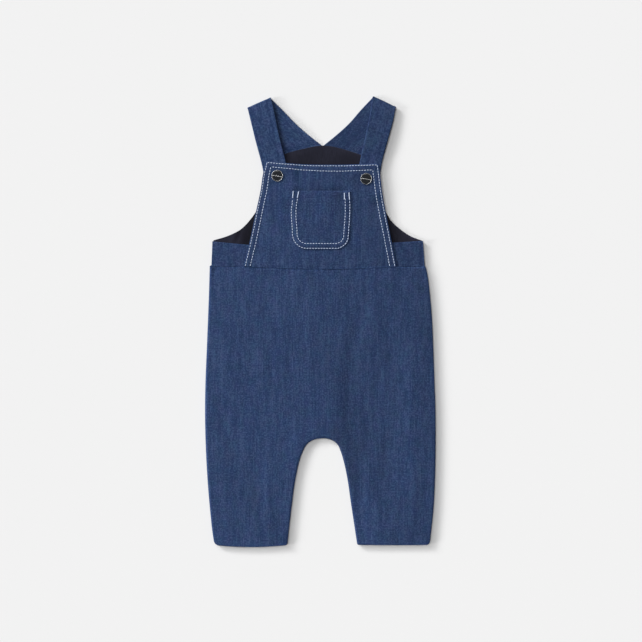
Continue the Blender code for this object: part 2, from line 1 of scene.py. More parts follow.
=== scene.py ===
"""Kids dungarees, laid flat: cloth, stitching, snaps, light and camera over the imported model.

Shapes are worked out in millimetres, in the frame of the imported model: +Z up, +Y to the shoulders.
Each cloth piece is a thin closed shell on the form of its solid. Its height over the table is a
function of x and y, made of the solid's own form, the folds in the tables, and a little unevenness.
"""

import math
from collections import namedtuple

import bmesh
import bpy
import numpy as np
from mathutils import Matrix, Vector


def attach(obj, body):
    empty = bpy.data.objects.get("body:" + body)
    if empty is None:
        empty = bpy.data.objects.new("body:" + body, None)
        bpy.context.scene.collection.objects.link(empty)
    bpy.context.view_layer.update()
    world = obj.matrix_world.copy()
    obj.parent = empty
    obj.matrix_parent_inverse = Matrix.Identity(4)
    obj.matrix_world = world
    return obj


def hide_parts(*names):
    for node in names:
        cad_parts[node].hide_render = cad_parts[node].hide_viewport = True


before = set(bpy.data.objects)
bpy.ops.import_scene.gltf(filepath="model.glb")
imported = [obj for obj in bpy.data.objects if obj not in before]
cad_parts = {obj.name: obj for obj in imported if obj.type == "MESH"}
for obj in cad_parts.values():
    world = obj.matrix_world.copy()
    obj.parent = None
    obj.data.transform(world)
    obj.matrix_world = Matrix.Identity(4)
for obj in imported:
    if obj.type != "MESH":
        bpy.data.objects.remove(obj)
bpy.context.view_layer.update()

MM = 0.001
SIGNS = {"left": -1, "right": 1}
SIDES = tuple(SIGNS)


def table(kind, *rows):
    """Rows of numbers, under the column names of their kind."""
    return tuple(kind(*map(float, row)) for row in rows)


# Cloth and trim
DENIM = 1.2
JERSEY = 1.0
STRAP_WALL = 1.8
SEAM_GAP = 0.3

# Lengths along the garment
HEM_Y = -258.6
WAIST_Y = 63.0
WAIST_SAG = 2.8
WAIST_SAG_REACH = 86.0
WAIST_TUCK = 0.6
BACK_TUCK = 0.32
WAIST_CORNER_X = -125.3
CENTRE_X = 1.8
CROTCH_UP = 124.6

# Heights above the table of the middle of each cloth wall
OFF_TABLE = 0.02
BACK_Z = DENIM / 2 + OFF_TABLE
LINING_Z = DENIM + SEAM_GAP + JERSEY / 2
ON_LINING = LINING_Z + JERSEY / 2 + SEAM_GAP
BAND_Z = ON_LINING + DENIM / 2
STRAP_END_Z = ON_LINING + STRAP_WALL / 2
BIB_Z = 4.4
BIB_ON_BAND_Z = BAND_Z + DENIM + SEAM_GAP
BIB_ON_STRAP_Z = STRAP_END_Z + STRAP_WALL / 2 + SEAM_GAP + DENIM / 2 + 0.1
FRONT_EDGE_Z = DENIM + SEAM_GAP + DENIM / 2
FRONT_RISE = 2.2
EDGE_ROLL = 1.8
HEM_ROLL_DEPTH = 1.0
WAIST_BLEND = 22.0

# Side edges of the trousers: how far above the hem, and how far left and right of the origin
Side = namedtuple("Side", "up left right")
TROUSER_SIDES = table(
    Side,
    (0, 122, 125.3), (19, 124.7, 127.4), (42, 127, 129.7), (88, 130.6, 131.8), (117, 132, 132.3),
    (157, 132.8, 132.1), (192, 132.2, 130.9), (226, 130.8, 129.7), (261, 129.4, 128.2), (295, 128.1, 125.2),
    (312, 127.6, 123), (321.6, 127.3, 120.8),
)

# The gap between the legs: how far above the hem, and how far from the centre line
INSEAMS = table(
    Side,
    (CROTCH_UP, 0, 0), (123, 9.8, 10.5), (118.2, 17.3, 17.2), (109.5, 22.3, 21.4), (99.7, 25.8, 24.4),
    (80, 30.3, 28.7), (50, 34.5, 33), (0, 40, 40.3),
)

# Each leg's hem: how far its middle bulges below its corners, how high these are, and their radii
Hem = namedtuple("Hem", "bulge lift corner inner_corner")
HEMS = {"left": Hem(2.4, 2.2, 5.0, 2.4), "right": Hem(0.4, 2.4, 4.0, 2.0)}

# Where the rows of the trouser grid meet the inseam and the side seam, as a share of the rows
Row = namedtuple("Row", "share inseam side_up")
LEG_ROWS = table(Row, (0, 0, 0), (0.22, 0.62, 86), (0.52, 1, 156))

# Soft folds: a line, its bow, and its width and height
Fold = namedtuple("Fold", "x0 y0 x1 y1 bow width height")
FRONT_FOLDS = table(
    Fold,
    (29, -150, 31, -20, 2, 7, -0.8), (26, -48, 50, 22, 3, 8, -0.6), (64, -42, 82, 14, -2, 9, -0.5),
    (46, -80, 50, -215, 3, 12, -0.8), (92, 0, 94, -205, -3, 10, 0.5), (55, -150, 60, -250, 2, 8, 0.5),
    (113, 5, 117, -190, 3, 7, -0.6), (104, 54, 120, 44, 0, 6, -0.5), (-98, -170, -72, -215, 3, 9, -0.7),
    (-52, -70, -44, -175, 3, 10, 0.6), (-48, -190, -54, -252, 1, 8, -0.6),
    (-92, 40, -100, -140, 4, 14, 0.4), (0, 60, -8, -80, 3, 12, 0.5),
)
LINING_FOLDS = table(
    Fold,
    (-86, 116, -101, 81, 0, 9, 1.1), (-86.5, 115, -100, 83, 0.5, 2.4, -1.1),
    (-79, 120, -83, 92, -1, 3.5, 0.45), (82, 114, 88, 90, 1, 3.5, 0.45), (-24, 196, -30, 178, 1, 5, 0.3),
    (20, 196, 26, 178, -1, 5, 0.3),
)

# How far the trouser front sinks at the waist seam, below what laps over it there
Sink = namedtuple("Sink", "x depth")
WAIST_SINKS = table(
    Sink,
    (-135, 1.45), (-98, 1.45), (-86, 0.6), (-62, 0.6), (-42, 1.25), (42, 1.25), (62, 0.6), (84, 0.6),
    (97, 1.45), (135, 1.45),
)
WAIST_SINK_REACH = 24.0

# Smaller creases of the front, and the folds of the back and the bib
FRONT_CREASES = table(
    Fold,
    (-35, -30, -36, -92, 1, 3.5, -0.35), (-58, -20, -57, -86, -1.5, 4, -0.25), (8, 56, 4, 12, 1, 5, -0.35),
    (-20, 58, -24, 0, -1, 5, -0.3), (36, 58, 40, 20, 1, 4.5, -0.3), (-70, 58, -72, 22, 1, 5, 0.3),
    (72, 56, 76, 24, -1, 5, 0.3), (30, -118, 44, -142, 2, 5, -0.35), (-26, -118, -42, -140, -2, 5, -0.3),
    (85, -236, 86, -258, 0, 3, -0.5), (-112, -60, -106, -150, 2, 7, -0.35),
    (-84, -96, -90, -180, -2, 8, 0.35), (72, -120, 76, -232, 2, 6, -0.4),
    (108, -150, 106, -245, -1, 7, 0.35), (14, -20, 16, -98, 1, 5, 0.3), (-8, -60, -12, -110, 1, 6, 0.3),
)
BACK_FOLDS = table(
    Fold,
    (-60, 40, -70, -120, 4, 12, 0.7), (48, 30, 60, -150, -3, 11, 0.6), (-4, 40, 6, -90, 3, 9, 0.5),
    (-96, -60, -84, -215, -3, 10, 0.6), (98, -40, 88, -220, 3, 10, 0.5), (-30, -110, -50, -150, 2, 7, 0.5),
    (32, -112, 52, -150, -2, 7, 0.4),
)
BIB_FOLDS = table(
    Fold,
    (-34, 176, 34, 176, 1, 7, -0.2), (-46, 149.4, 48, 149.4, 0, 4.2, -1.3), (-52, 158, -66, 96, 2, 6, 0.35),
    (52, 154, 64, 96, -2, 6, 0.35), (-43, 160, -36, 132, 1, 5, -0.3), (44, 158, 40, 128, -1, 5, -0.3),
    (-52, 86, -48, 64, 0, 7, -0.3), (20, 82, 30, 62, 1, 6, -0.3), (-14, 80, -20, 62, -1, 6, 0.3),
    (56, 84, 60, 64, 1, 6, 0.3), (6, 180, 2, 158, 1, 8, 0.2),
)

# Bib sides above the waist seam, and the line of its top edge
BIB_SIDES = table(
    Side,
    (0, 88.2, 87.2), (31, 80.8, 81.2), (64.4, 73.9, 74.6), (88.6, 68.7, 70.4), (106, 66.1, 68.3),
    (122, 62.4, 66.2),
)
Edge = namedtuple("Edge", "x y")
BIB_TOP = table(
    Edge,
    (-62.6, 184.2), (-50, 183), (-32, 181.5), (-18, 180.7), (0, 180.3), (34, 180.4), (66.4, 181.3),
)
BIB_CORNER = 2.5

# How the bib's height changes over what lies below it
BAND_COVER_X = 52.0
BAND_COVER_BLEND = 14.0
BAND_COVER_Y = 108.0
BAND_COVER_RISE = 12.0
STRAP_COVER = 15.5
STRAP_COVER_BLEND = 14.0

# Side bands: outer side edge, and the top edge from the side seam to below the bib
Band = namedtuple("Band", "waist_x top_x top_y inner_x inner_y")
SIDE_BANDS = {
    "left": Band(-125.4, -124.2, 92.4, -69.0, 86.9),
    "right": Band(119.8, 117.6, 92.9, 69.0, 90.1),
}
BAND_ROW_INSET = 5.5
BAND_SINK = 0.15

# Back bodice: each armhole from the side seam up to the strap seam, and the seam between them
ARMHOLES = {
    "left": table(
        Edge,
        (-123.2, 93.6), (-105.6, 99), (-92.6, 105.5), (-80.8, 117.2), (-72.4, 129.6), (-66, 151.6),
        (-59, 171), (-49.2, 189.2),
    ),
    "right": table(
        Edge,
        (117.4, 92.8), (101.8, 99.2), (92.4, 105.6), (80.4, 116.9), (73.6, 129.6), (67.6, 151.6), (61, 171),
        (52.4, 189.2),
    ),
}
STRAP_SEAM = table(
    Edge,
    (-49.2, 189.2), (-37.9, 193.4), (-20, 198.2), (-5.5, 201.2), (2.5, 201.9), (11.6, 201.2), (28, 197.2),
    (46, 191.4), (52.4, 189.2),
)
SIDE_EDGE_ROWS = 0.25
SEAM_RISE_ROWS = 0.7
LINING_OVER_STRAP = 0.7
BACK_INSET = 0.6
LINING_DIP_Y = 170.0
LINING_DIP_BLEND = 15.0

# Straps, from the back seam over the shoulder fold to the snap: the neck edge and the arm edge,
# and the height of the wall's middle
StrapLine = namedtuple("StrapLine", "neck_x neck_y arm_x arm_y height")
STRAP_BACK = {
    "left": table(
        StrapLine,
        (2.2, 201.9, -49.2, 189.2, 0.9), (-14.4, 215, -57.2, 205.2, 1.9), (-29.9, 228.8, -66, 219.6, 2.4),
        (-43.1, 242.6, -74.6, 232, 1.9), (-56.4, 255.8, -83.4, 243.8, 0.9),
    ),
    "right": table(
        StrapLine,
        (2.8, 201.9, 52.4, 189.2, 0.9), (18.9, 215, 61.6, 205.2, 1.5), (33.8, 228.8, 70.6, 219.4, 1.8),
        (45.7, 242.6, 78.4, 231.6, 1.5), (59.4, 257.2, 86.2, 244.6, 0.9),
    ),
}
STRAP_FRONT = {
    "left": table(
        StrapLine,
        (-56.4, 255.8, -83.4, 243.8, 3.7), (-52.9, 240.4, -80.3, 231.2, 4.7),
        (-47.9, 216.2, -75, 209.4, 5.2), (-40.6, 187, -67.6, 181.4, 4),
        (-36, 166.6, -63, 160.4, STRAP_END_Z), (-34.2, 159.6, -60.8, 153.6, STRAP_END_Z),
    ),
    "right": table(
        StrapLine,
        (59.4, 257.2, 86.2, 244.6, 3.7), (57, 240.4, 83.6, 231.6, 4.2), (52.2, 216.2, 77.6, 209.4, 4.7),
        (45.8, 187, 70.3, 181.4, 4), (41.8, 166.6, 67, 160.4, STRAP_END_Z),
        (40, 159.6, 65.2, 153.6, STRAP_END_Z),
    ),
}
STRAP_WIDTH = 30.0
STRAP_LENGTH = 185.0
STRAP_ROW_INSET = 4.5
STRAP_PUCKER_INSET = 2.0
STRAP_HOLLOW = 0.13
STRAP_PRESS = 0.36
STRAP_PRESS_REACH = 5.0
FOLD_RADIUS = 1.4
STRAP_BACK_TOP = 2.6
STRAP_BACK_ROWS = 0.38
STRAP_FOLD_ROWS = 0.52

# Patch pocket on the bib
POCKET_SIDES = table(
    Side,
    (0, 32.8, 31.9), (24, 33.6, 33.6), (42.5, 34.7, 34.8), (56, 33.2, 34.7), (67.4, 31.5, 34),
)
POCKET_TOP_Y = 150.4
POCKET_BOTTOM_Y = 83.0
POCKET_CORNERS = {"left": 17.0, "right": 14.5}
POCKET_CORNER_ROWS = 0.4

# Press snaps: centre, and the slope of the bar across the cap
Snap = namedtuple("Snap", "x y bar_degrees")
SNAPS = {"left": Snap(-49.7, 167.4, -8.0), "right": Snap(52.3, 163.9, -8.5)}
SNAP_RADIUS = 6.5
SNAP_LIFT = 0.15
SNAP_STEPS = 72

# The turned parts of a snap, from axis to axis: how far from the axis, and how far up
Turn = namedtuple("Turn", "radius height")
SNAP_CUP = table(
    Turn,
    (0, 0.4), (5.88, 0.4), (5.9, 0.7), (5.98, 0.88), (6.08, 0.97), (6.2, 1.01), (6.32, 1.01), (6.42, 0.97),
    (6.48, 0.88), (6.52, 0.7), (6.45, 0.35), (6.2, 0.05), (5.6, -0.1), (0, -0.1),
)
SNAP_FACE = table(
    Turn,
    (0, 0.8), (2.5, 0.795), (4.8, 0.785), (5.6, 0.77), (5.85, 0.73), (5.88, 0.65), (5.88, 0.5), (0, 0.5),
)
BAR_REACH = 5.8
BAR_BEND = 0.16
BAR_SHIFT = 0.4
BAR_HEIGHT = 1.0
BAR_CROWN = 0.08
BAR_RADII = (0.46, 0.2)

# Stitching
STITCH_PITCH = 3.2
STITCH_LENGTH = 2.58
THREAD_WIDTH = 0.63
THREAD_HEIGHT = 0.45
THREAD_LIFT = 0.12
THREAD_DIVE = 0.32
PLY_DEPTH = 0.14
PLY_TWIST = 5.0
STITCH_FOOT = 1.2
STITCH_TILT = 0.05
STITCH_STRETCH = 0.05
STITCH_DRIFT = 0.07

# The twin rows of the bib and the pocket: how far inside the edges each line lies
BibRow = namedtuple("BibRow", "left top right")
BIB_ROW_PLACES = (-60.0, -36.0, -16.0, 20.0, 44.0, 64.0)
BIB_ROWS = (
    BibRow(1.7, (1.4, 1.4, 1.4, 1.5, 1.4, 1.4), 1.9),
    BibRow(7.3, (6.0, 6.2, 6.8, 7.5, 7.2, 7.0), 7.7),
)
PocketRow = namedtuple("PocketRow", "left bottom right")
POCKET_ROW_SHARES = (0.0, 0.25, 0.42, 0.58, 0.75, 1.0)
POCKET_ROWS = (PocketRow(1.2, 1.2, 1.2), PocketRow(6.4, 6.7, 6.4))
BIB_ROW_INSETS = (1.6, 7.2)
BIB_ROW_LEFT_Y = 183.0
BIB_ROW_RIGHT_Y = 180.0
ROW_START = 0.5
ROW_POINTS = 60
RUN_REACH = 0.6

# Bar tacks at the top ends of the pocket's rows: each from its upper to its lower end
Tack = namedtuple("Tack", "x0 y0 x1 y1")
POCKET_TACKS = table(
    Tack,
    (-31.2, 149.7, -31.9, 142), (-25.1, 149.2, -26.4, 142), (27.4, 147.6, 27.5, 140.4),
    (32.7, 148, 33.2, 140.6),
)
TACK_BOTTOM_Y = 142.0
TACK_HALF_WIDTH = 0.45
TACK_STEP = 0.36
TACK_LIFT = 0.1
TACK_ARCH = 0.16
TACK_RADII = (0.28, 0.22)

# Unevenness of each piece: lumps of this height, width and length, and the seed of their noise
Lump = namedtuple("Lump", "height width length seed")
LUMPS = {
    "front_trousers": table(Lump, (0.22, 13, 46, 11), (0.1, 5, 17, 12)),
    "back_trousers": table(Lump, (0.2, 16, 50, 21)),
    "bib": table(Lump, (0.1, 11, 34, 37), (0.05, 5, 12, 38)),
    "pocket": table(Lump, (0.08, 9, 22, 41), (0.05, 4, 9, 42)),
    "side_band": table(Lump, (0.12, 15, 12, 51)),
    "back_lining": table(Lump, (0.08, 14, 20, 61)),
    "strap_out_left": table(Lump, (0.12, 9, 22, 72)),
    "strap_out_right": table(Lump, (0.12, 9, 22, 70)),
    "strap_in_left": table(Lump, (0.12, 11, 26, 78)),
    "strap_in_right": table(Lump, (0.12, 11, 26, 76)),
}

# Puckers beside each row of stitches: their height, their pitch along it and their reach from it
Pucker = namedtuple("Pucker", "height pitch reach seed")
PUCKERS = {
    "front_waist": Pucker(0.14, 6.5, 6.0, 13),
    "front_side": Pucker(0.1, 7.5, 5.0, 15),
    "bib_waist": Pucker(0.1, 6.0, 5.0, 31),
    "bib_side": Pucker(0.07, 5.6, 5.5, 33),
    "bib_top": Pucker(0.07, 6.2, 5.5, 35),
    "band_waist": Pucker(0.1, 6.0, 5.0, 52),
    "strap_left": Pucker(0.06, 6.5, 4.0, 75),
    "strap_right": Pucker(0.06, 6.5, 4.0, 73),
}

# Ridges and grooves along lines and edges: how high or deep they are, and how wide
Ridge = namedtuple("Ridge", "height width")
RIDGES = {
    "trouser_seam": Ridge(-0.6, 1.0),
    "waist_corner": Ridge(1.5, 1.7),
    "bib_waist": Ridge(-0.15, 1.5),
    "bib_row": Ridge(-0.22, 0.9),
    "snap_seat": Ridge(-0.1, 2.2),
    "pocket_edge": Ridge(-0.3, 3.0),
    "pocket_row": Ridge(-0.2, 0.8),
    "pocket_mouth": Ridge(0.55, 9.0),
    "band_hem": Ridge(0.3, 3.0),
    "band_row": Ridge(-0.12, 1.5),
    "lining_top": Ridge(-0.35, 4.0),
    "strap_row": Ridge(-0.15, 1.6),
}

# Turned borders: how much they add, how wide they are, and how wide the step at their inner side is
Border = namedtuple("Border", "height width step")
BIB_BORDER = Border(0.28, 9.0, 1.2)
POCKET_BORDER = Border(0.2, 8.0, 1.0)
POCKET_HEM = Border(0.22, 14.0, 1.2)

# How far in from an edge the folds and the puckers reach their full height
FOLD_FADE = 8.0
POCKET_FADE = 7.0
WAIST_FADE = 6.0
SIDE_FADE = 3.0
FACE_FADE = 0.8
STRAP_FADE = 1.5

# The bib's puckers lie along a line this far inside its edges
PUCKERS_INSIDE_EDGE = 5.0

# How the puckers wander: how much, over how many pitches, how unevenly they fade, and over what length
PUCKER_WANDER = 2.2
WANDER_PITCHES = 2.5
PUCKER_UNEVEN = 0.35
PUCKER_FADE_LENGTH = 30.0
ACROSS_PUCKERS = 200.0

# Steps of a smooth curve, points that are measured at a time, and the cells of the noise
CURVE_STEPS = 400
POINTS_AT_ONCE = 4000
NOISE_CELLS = 64
NOISE_OFFSET = 1000.0

# The share of a fold's length over which each of its ends fades
FOLD_END = 0.3

# How the back trousers rise from their flat edges
BACK_FLAT_EDGE = 2.0
BACK_BLEND = 14.0
BACK_LIFT = 0.25
BACK_LIFT_MOST = 1.2

# The pocket bulges a little in its middle
POCKET_X = -0.2
POCKET_HALF = 32.0
POCKET_BULGE = 0.22

# Each piece's tone with painted light: its shade, painted darker on the pieces to the right, away from the
# light; how much darker it is painted for each millimetre to the right; and how much lighter its edges are
Tone = namedtuple("Tone", "shade fall wear")
TONES_AND_PAINTED_LIGHT = {
    "front_trousers": Tone(0.99, 0.0006, 0.8),
    "back_trousers": Tone(0.95, 0.0, 0.5),
    "back_bodice": Tone(0.95, 0.0, 0.5),
    "back_lining": Tone(1.0, 0.0, 0.0),
    "side_band_left": Tone(0.98, 0.0, 0.0),
    "side_band_right": Tone(0.84, 0.0, 0.0),
    "strap_left": Tone(1.05, 0.0, 0.2),
    "strap_right": Tone(0.85, 0.0, 0.2),
    "bib": Tone(0.98, 0.0018, 0.4),
    "pocket": Tone(0.97, 0.0008, 0.0),
}

# Painted light and shade: paler and darker streaks that stand in for the shading of folds and creases, and
# on the left strap for the front layer's shadow on the back one; each as folds are, its last value the share
# of light
PAINTED_STREAKS = {
    "front_trousers": table(
        Fold,
        (100, 0, 102, -215, 0, 8, 0.21), (119, 66, 119, -180, 0, 7, -0.12), (114, 84, 116, 22, 0, 8, -0.13),
        (34, 20, 40, -240, 3, 11, -0.17), (73, 12, 73, -62, 0, 6, -0.12), (-50, 68, -50, -75, 0, 9, 0.1),
        (-82, -45, -80, -165, 0, 8, 0.1), (-8, -55, -12, -150, 0, 13, 0.1),
        (-31, -100, -34, -190, 0, 9, 0.18), (-9, 66, -10, 32, 0, 6, -0.12), (0, 48, 0, -12, 0, 5, 0.1),
        (9, -10, 9, -95, 0, 5, -0.11), (-79, -168, -79, -230, 0, 8, -0.17),
        (-64, -120, -65, -250, 0, 7, 0.13), (-50, -206, -52, -290, 0, 7, -0.12),
        (-106, -124, -106, -176, 0, 9, -0.11), (54, -180, 58, -300, 0, 14, 0.19),
        (17, -108, 20, -170, 0, 5.5, -0.22), (84, -140, 92, -222, 0, 7, 0.11),
        (52, -95, 50, -165, 0, 7, -0.12), (-140, -256, -56, -256, 0, 6, 0.09),
        (34, 66, 34, 26, 0, 14, -0.08), (87.8, -240, 87.8, -266, 0, 1.3, -0.3),
        (128.6, -40, 129.6, -82, 0, 3.5, 0.2), (73, -124, 73, -192, 0, 5, -0.14),
        (-45, -98, -45, -134, 0, 4, 0.13), (-28, -106, -28, -134, 0, 4, -0.14),
        (-74, -186, -74, -216, 0, 4.5, -0.13), (58, -257, 80, -257, 0, 5, 0.12),
    ),
    "bib": table(
        Fold,
        (-61, 200, -87, 40, 0, 7, -0.28), (-44, 166, -46, 98, 0, 4, 0.12), (65, 180, 68, 124, 0, 5, 0.14),
        (16, 163, 60, 166, 0, 8, -0.17), (57, 130, 57, 102, 0, 4, -0.13), (-44, 156, -8, 156, 0, 6, 0.13),
        (-66, 172, -34, 169, 0, 8, -0.2), (39, 116, 40, 80, 0, 4, 0.1), (8, 153, 34, 153, 0, 4, -0.12),
    ),
    "strap_left": table(Fold, (-56, 262, -39, 176, 0, 3, -0.45)),
    "pocket": table(
        Fold,
        (-1, 160, -2, 104, 0, 8, 0.12), (20, 164, 20, 96, 0, 7, -0.13), (-34, 150, -34, 84, 0, 3.5, -0.14),
        (20, 153, 20, 138, 0, 6, -0.1),
    ),
}

# Painted light: a bluer strip along the left side seam, where the light falls on its rounded edge; the last
# value is its share
PAINTED_LIGHT_STRIPS = {"front_trousers": table(Fold, (-129, 44, -132, -200, 3.5, 4, 0.5))}

# Painted shade on the lining in the armholes, darkest beside the bib and paler outwards, and how much paler
# the lining is towards the neck
ARMHOLE_X = (84.0, 102.0)
ARMHOLE_PAINTED_SHADE = (0.6, 1.28)
NECK_SHADE = 0.16
ARMHOLE_TOP_Y = 185.0
ARMHOLE_BLEND = 15.0
NECK_Y = 187.0
NECK_BLEND = 13.0

# Edges: how far in they are worn; how much less of the pale edge is painted on the left-facing, lit edges;
# how far in and by how much the right-facing edges, away from the light, are painted lighter; how far in
# they are pressed; how far in a strap is worn
WEAR_REACH = 1.3
LIT_EDGE_WEAR_LOSS = 0.6
LIGHT_REACH = 1.6
RIGHT_EDGE_PAINTED_LIGHT = 0.5
PRESS_REACH = 3.0
STRAP_WEAR_REACH = 1.2

# Steps from a cut edge into the cloth, which round it, and the grids of the flat pieces: columns and
# rows between those steps, and about how wide and long the piece is
EDGE_STEPS = (0.0, 0.06, 0.2, 0.4, 0.7, 1.2)
Grid = namedtuple("Grid", "columns width rows length")
GRIDS = {
    "back_bodice": Grid(50, 180.0, 60, 130.0),
    "back_lining": Grid(90, 180.0, 100, 130.0),
    "side_band": Grid(46, 56.0, 26, 29.0),
    "strap": Grid(24, STRAP_WIDTH, 170, STRAP_LENGTH),
    "bib": Grid(120, 150.0, 100, 120.0),
    "pocket": Grid(62, 66.0, 64, 80.0),
}
TrouserGrid = namedtuple("TrouserGrid", "inset columns leg_rows body_rows")
BACK_GRID = TrouserGrid(0.6, 34, 34, 44)
FRONT_GRID = TrouserGrid(0.0, 78, 84, 104)
HALF_WIDTH = 92.0
LEG_ROW_SPAN = 270.0
BODY_ROW_SPAN = 360.0

# Points closer than this, in metres, are one; the underside lies this much deeper in the weave's noise
MERGE = 0.00002
UNDERSIDE_DEPTH = 40.0
STRAP_DEPTH = 7.0
FLOOR_REACH = 25000.0

# Light from the upper left: elevation, azimuth from +X, angular size and share of the floor's light
Lamp = namedtuple("Lamp", "elevation azimuth size share")
LAMPS = table(
    Lamp,
    (68, 102, 20, 0.18), (68, 192, 20, 0.18), (29, 112, 16, 0.056), (29, 140, 16, 0.1), (21, 136, 10, 0.11),
    (21, 160, 10, 0.044), (21, 186, 10, 0.052), (16, 142, 9, 0.088), (16, 190, 9, 0.08),
)
AMBIENT_SHARE = 0.11
FLOOR_LIGHT = 1.11

# The photograph's width in pixels and millimetres, and the point that the camera looks at
PHOTO_PIXELS = 642
PIXEL = 1.15
VIEW_X = 0.52
VIEW_Y = 0.9



# Curves through the rows of a table


def smooth(knots, values, at):
    """The values at the given places of a smooth curve through (knots, values)."""
    slopes = np.gradient(values, knots)
    index = np.clip(np.searchsorted(knots, at) - 1, 0, len(knots) - 2)
    span = knots[index + 1] - knots[index]
    t = (at - knots[index]) / span
    start = (1 + 2 * t) * (1 - t) ** 2 * values[index]
    end = t * t * (3 - 2 * t) * values[index + 1]
    leave = t * (1 - t) ** 2 * span * slopes[index]
    arrive = t * t * (t - 1) * span * slopes[index + 1]
    return start + end + leave + arrive


def column(rows, name):
    return np.array([getattr(row, name) for row in rows])


def line_y(rows, x):
    """How far up a smooth line through these points lies at x; it is level beyond its ends."""
    knots = column(rows, "x")
    return smooth(knots, column(rows, "y"), np.clip(x, knots[0], knots[-1]))


def edge_x(rows, side, up):
    """Where a side edge lies, this far above the zero of its table."""
    return SIGNS[side] * smooth(column(rows, "up"), column(rows, side), np.clip(up, 0.0, rows[-1].up))


def between(start, end, share):
    return start + (end - start) * share


def lengths_along(points):
    steps = np.linalg.norm(np.diff(points, axis=0), axis=1)
    return np.concatenate([[0.0], np.cumsum(steps)])


def along_path(places, knots, path):
    """Points at these places on the straight stretches between a path's points."""
    return np.stack([np.interp(places, knots, axis) for axis in path.T], axis=1)


def path_through(points, shares):
    """Points at these shares of the length of a smooth curve through the points."""
    points = np.asarray(points)
    knots = lengths_along(points)
    fine = np.linspace(0.0, knots[-1], CURVE_STEPS)
    dense = np.stack([smooth(knots, axis, fine) for axis in points.T], axis=1)
    along = lengths_along(dense)
    return along_path(shares, along / along[-1], dense)


def ease(value):
    """0 to 1, with no corner at either end."""
    value = np.clip(value, 0.0, 1.0)
    return value * value * (3 - 2 * value)


def bump(distance, width):
    """1 at no distance, fading to 0."""
    return np.exp(-((distance / width) ** 2))


def rounded(distance, radius):
    """Rises from 0 at the edge to 1 at the radius, as a quarter circle does."""
    return np.sqrt(1 - (1 - np.clip(distance / radius, 0.0, 1.0)) ** 2)


def distance_to_path(x, y, path):
    """The distance of each point from the nearest stretch of a path."""
    shape = np.shape(x)
    x, y = np.ravel(x), np.ravel(y)
    start, run = path[:-1], np.diff(path, axis=0)
    nearest = np.full(x.shape, np.inf)
    for first in range(0, len(x), POINTS_AT_ONCE):
        part = slice(first, first + POINTS_AT_ONCE)
        offset_x = x[part, None] - start[:, 0]
        offset_y = y[part, None] - start[:, 1]
        share = (offset_x * run[:, 0] + offset_y * run[:, 1]) / np.maximum((run**2).sum(axis=1), 1e-9)
        share = np.clip(share, 0.0, 1.0)
        gaps = np.sqrt((offset_x - share * run[:, 0]) ** 2 + (offset_y - share * run[:, 1]) ** 2)
        nearest[part] = gaps.min(axis=1)
    return nearest.reshape(shape)


def nearest_of(x, y, paths):
    """The distance of each point from the nearest of these paths."""
    return np.min([distance_to_path(x, y, path) for path in paths], axis=0)


def soft_noise(x, y, size_x, size_y, seed):
    """Smooth unevenness between about -1 and 1, with lumps of these sizes."""
    values = np.random.default_rng(int(seed)).uniform(-1, 1, (NOISE_CELLS, NOISE_CELLS))
    across, along = x / size_x + NOISE_OFFSET, y / size_y + NOISE_OFFSET
    i, j = np.floor(across).astype(int), np.floor(along).astype(int)
    p, q = ease(across - i), ease(along - j)
    left, right = i % NOISE_CELLS, (i + 1) % NOISE_CELLS
    low = between(values[j % NOISE_CELLS, left], values[j % NOISE_CELLS, right], p)
    high = between(values[(j + 1) % NOISE_CELLS, left], values[(j + 1) % NOISE_CELLS, right], p)
    return between(low, high, q)


def lumps(piece, x, y):
    """How far a piece's unevenness lifts its cloth."""
    return sum(lump.height * soft_noise(x, y, lump.width, lump.length, lump.seed) for lump in LUMPS[piece])


def puckers(seam, distance, along):
    """The little ripples that a row of stitches draws into the cloth beside it."""
    row = PUCKERS[seam]
    wander = soft_noise(along, distance, row.pitch * WANDER_PITCHES, ACROSS_PUCKERS, row.seed)
    ripple = np.sin(2 * math.pi * along / row.pitch + PUCKER_WANDER * wander)
    uneven = soft_noise(along, distance, PUCKER_FADE_LENGTH, ACROSS_PUCKERS, row.seed + 1)
    fade = 1 - PUCKER_UNEVEN + PUCKER_UNEVEN * uneven
    return row.height * (ripple * bump(distance, row.reach) * fade)


def ridge(name, distance):
    """The height of this ridge or groove, this far from its middle."""
    return RIDGES[name].height * bump(distance, RIDGES[name].width)


def raised(border, distance):
    """What a turned border adds, this far inside its edge."""
    return border.height * ease((border.width - distance) / border.step)


def fold_heights(folds, x, y):
    """How far the folds lift or sink the cloth at each point."""
    total = np.zeros_like(x)
    for fold in folds:
        run_x, run_y = fold.x1 - fold.x0, fold.y1 - fold.y0
        length = math.hypot(run_x, run_y)
        along = ((x - fold.x0) * run_x + (y - fold.y0) * run_y) / length**2
        across = ((x - fold.x0) * run_y - (y - fold.y0) * run_x) / length
        across = across - fold.bow * 4 * along * (1 - along)
        fade = ease(along / FOLD_END) * ease((1 - along) / FOLD_END)
        total += fold.height * bump(across, fold.width) * fade
    return total


def round_corner(x, y, corner_x, corner_y, inward_x, inward_y, radius):
    """Draws the square corner at (corner_x, corner_y) in to a quarter circle."""
    across = (x - corner_x) * inward_x / radius
    along = (y - corner_y) * inward_y / radius
    inside = (across < 1) & (along < 1)
    p = np.where(inside, 1 - np.clip(across, 0, 1), 0.0)
    q = np.where(inside, 1 - np.clip(along, 0, 1), 0.0)
    shift_x = p * (1 - np.sqrt(1 - q * q / 2)) * radius
    shift_y = q * (1 - np.sqrt(1 - p * p / 2)) * radius
    return x + inward_x * shift_x, y + inward_y * shift_y


# Trousers


def waist_line(x):
    """The front waist seam, which hangs a little in the middle."""
    sag = np.clip(1 - ((x - CENTRE_X) / WAIST_SAG_REACH) ** 2, 0.0, 1.0)
    return WAIST_Y - WAIST_SAG * sag


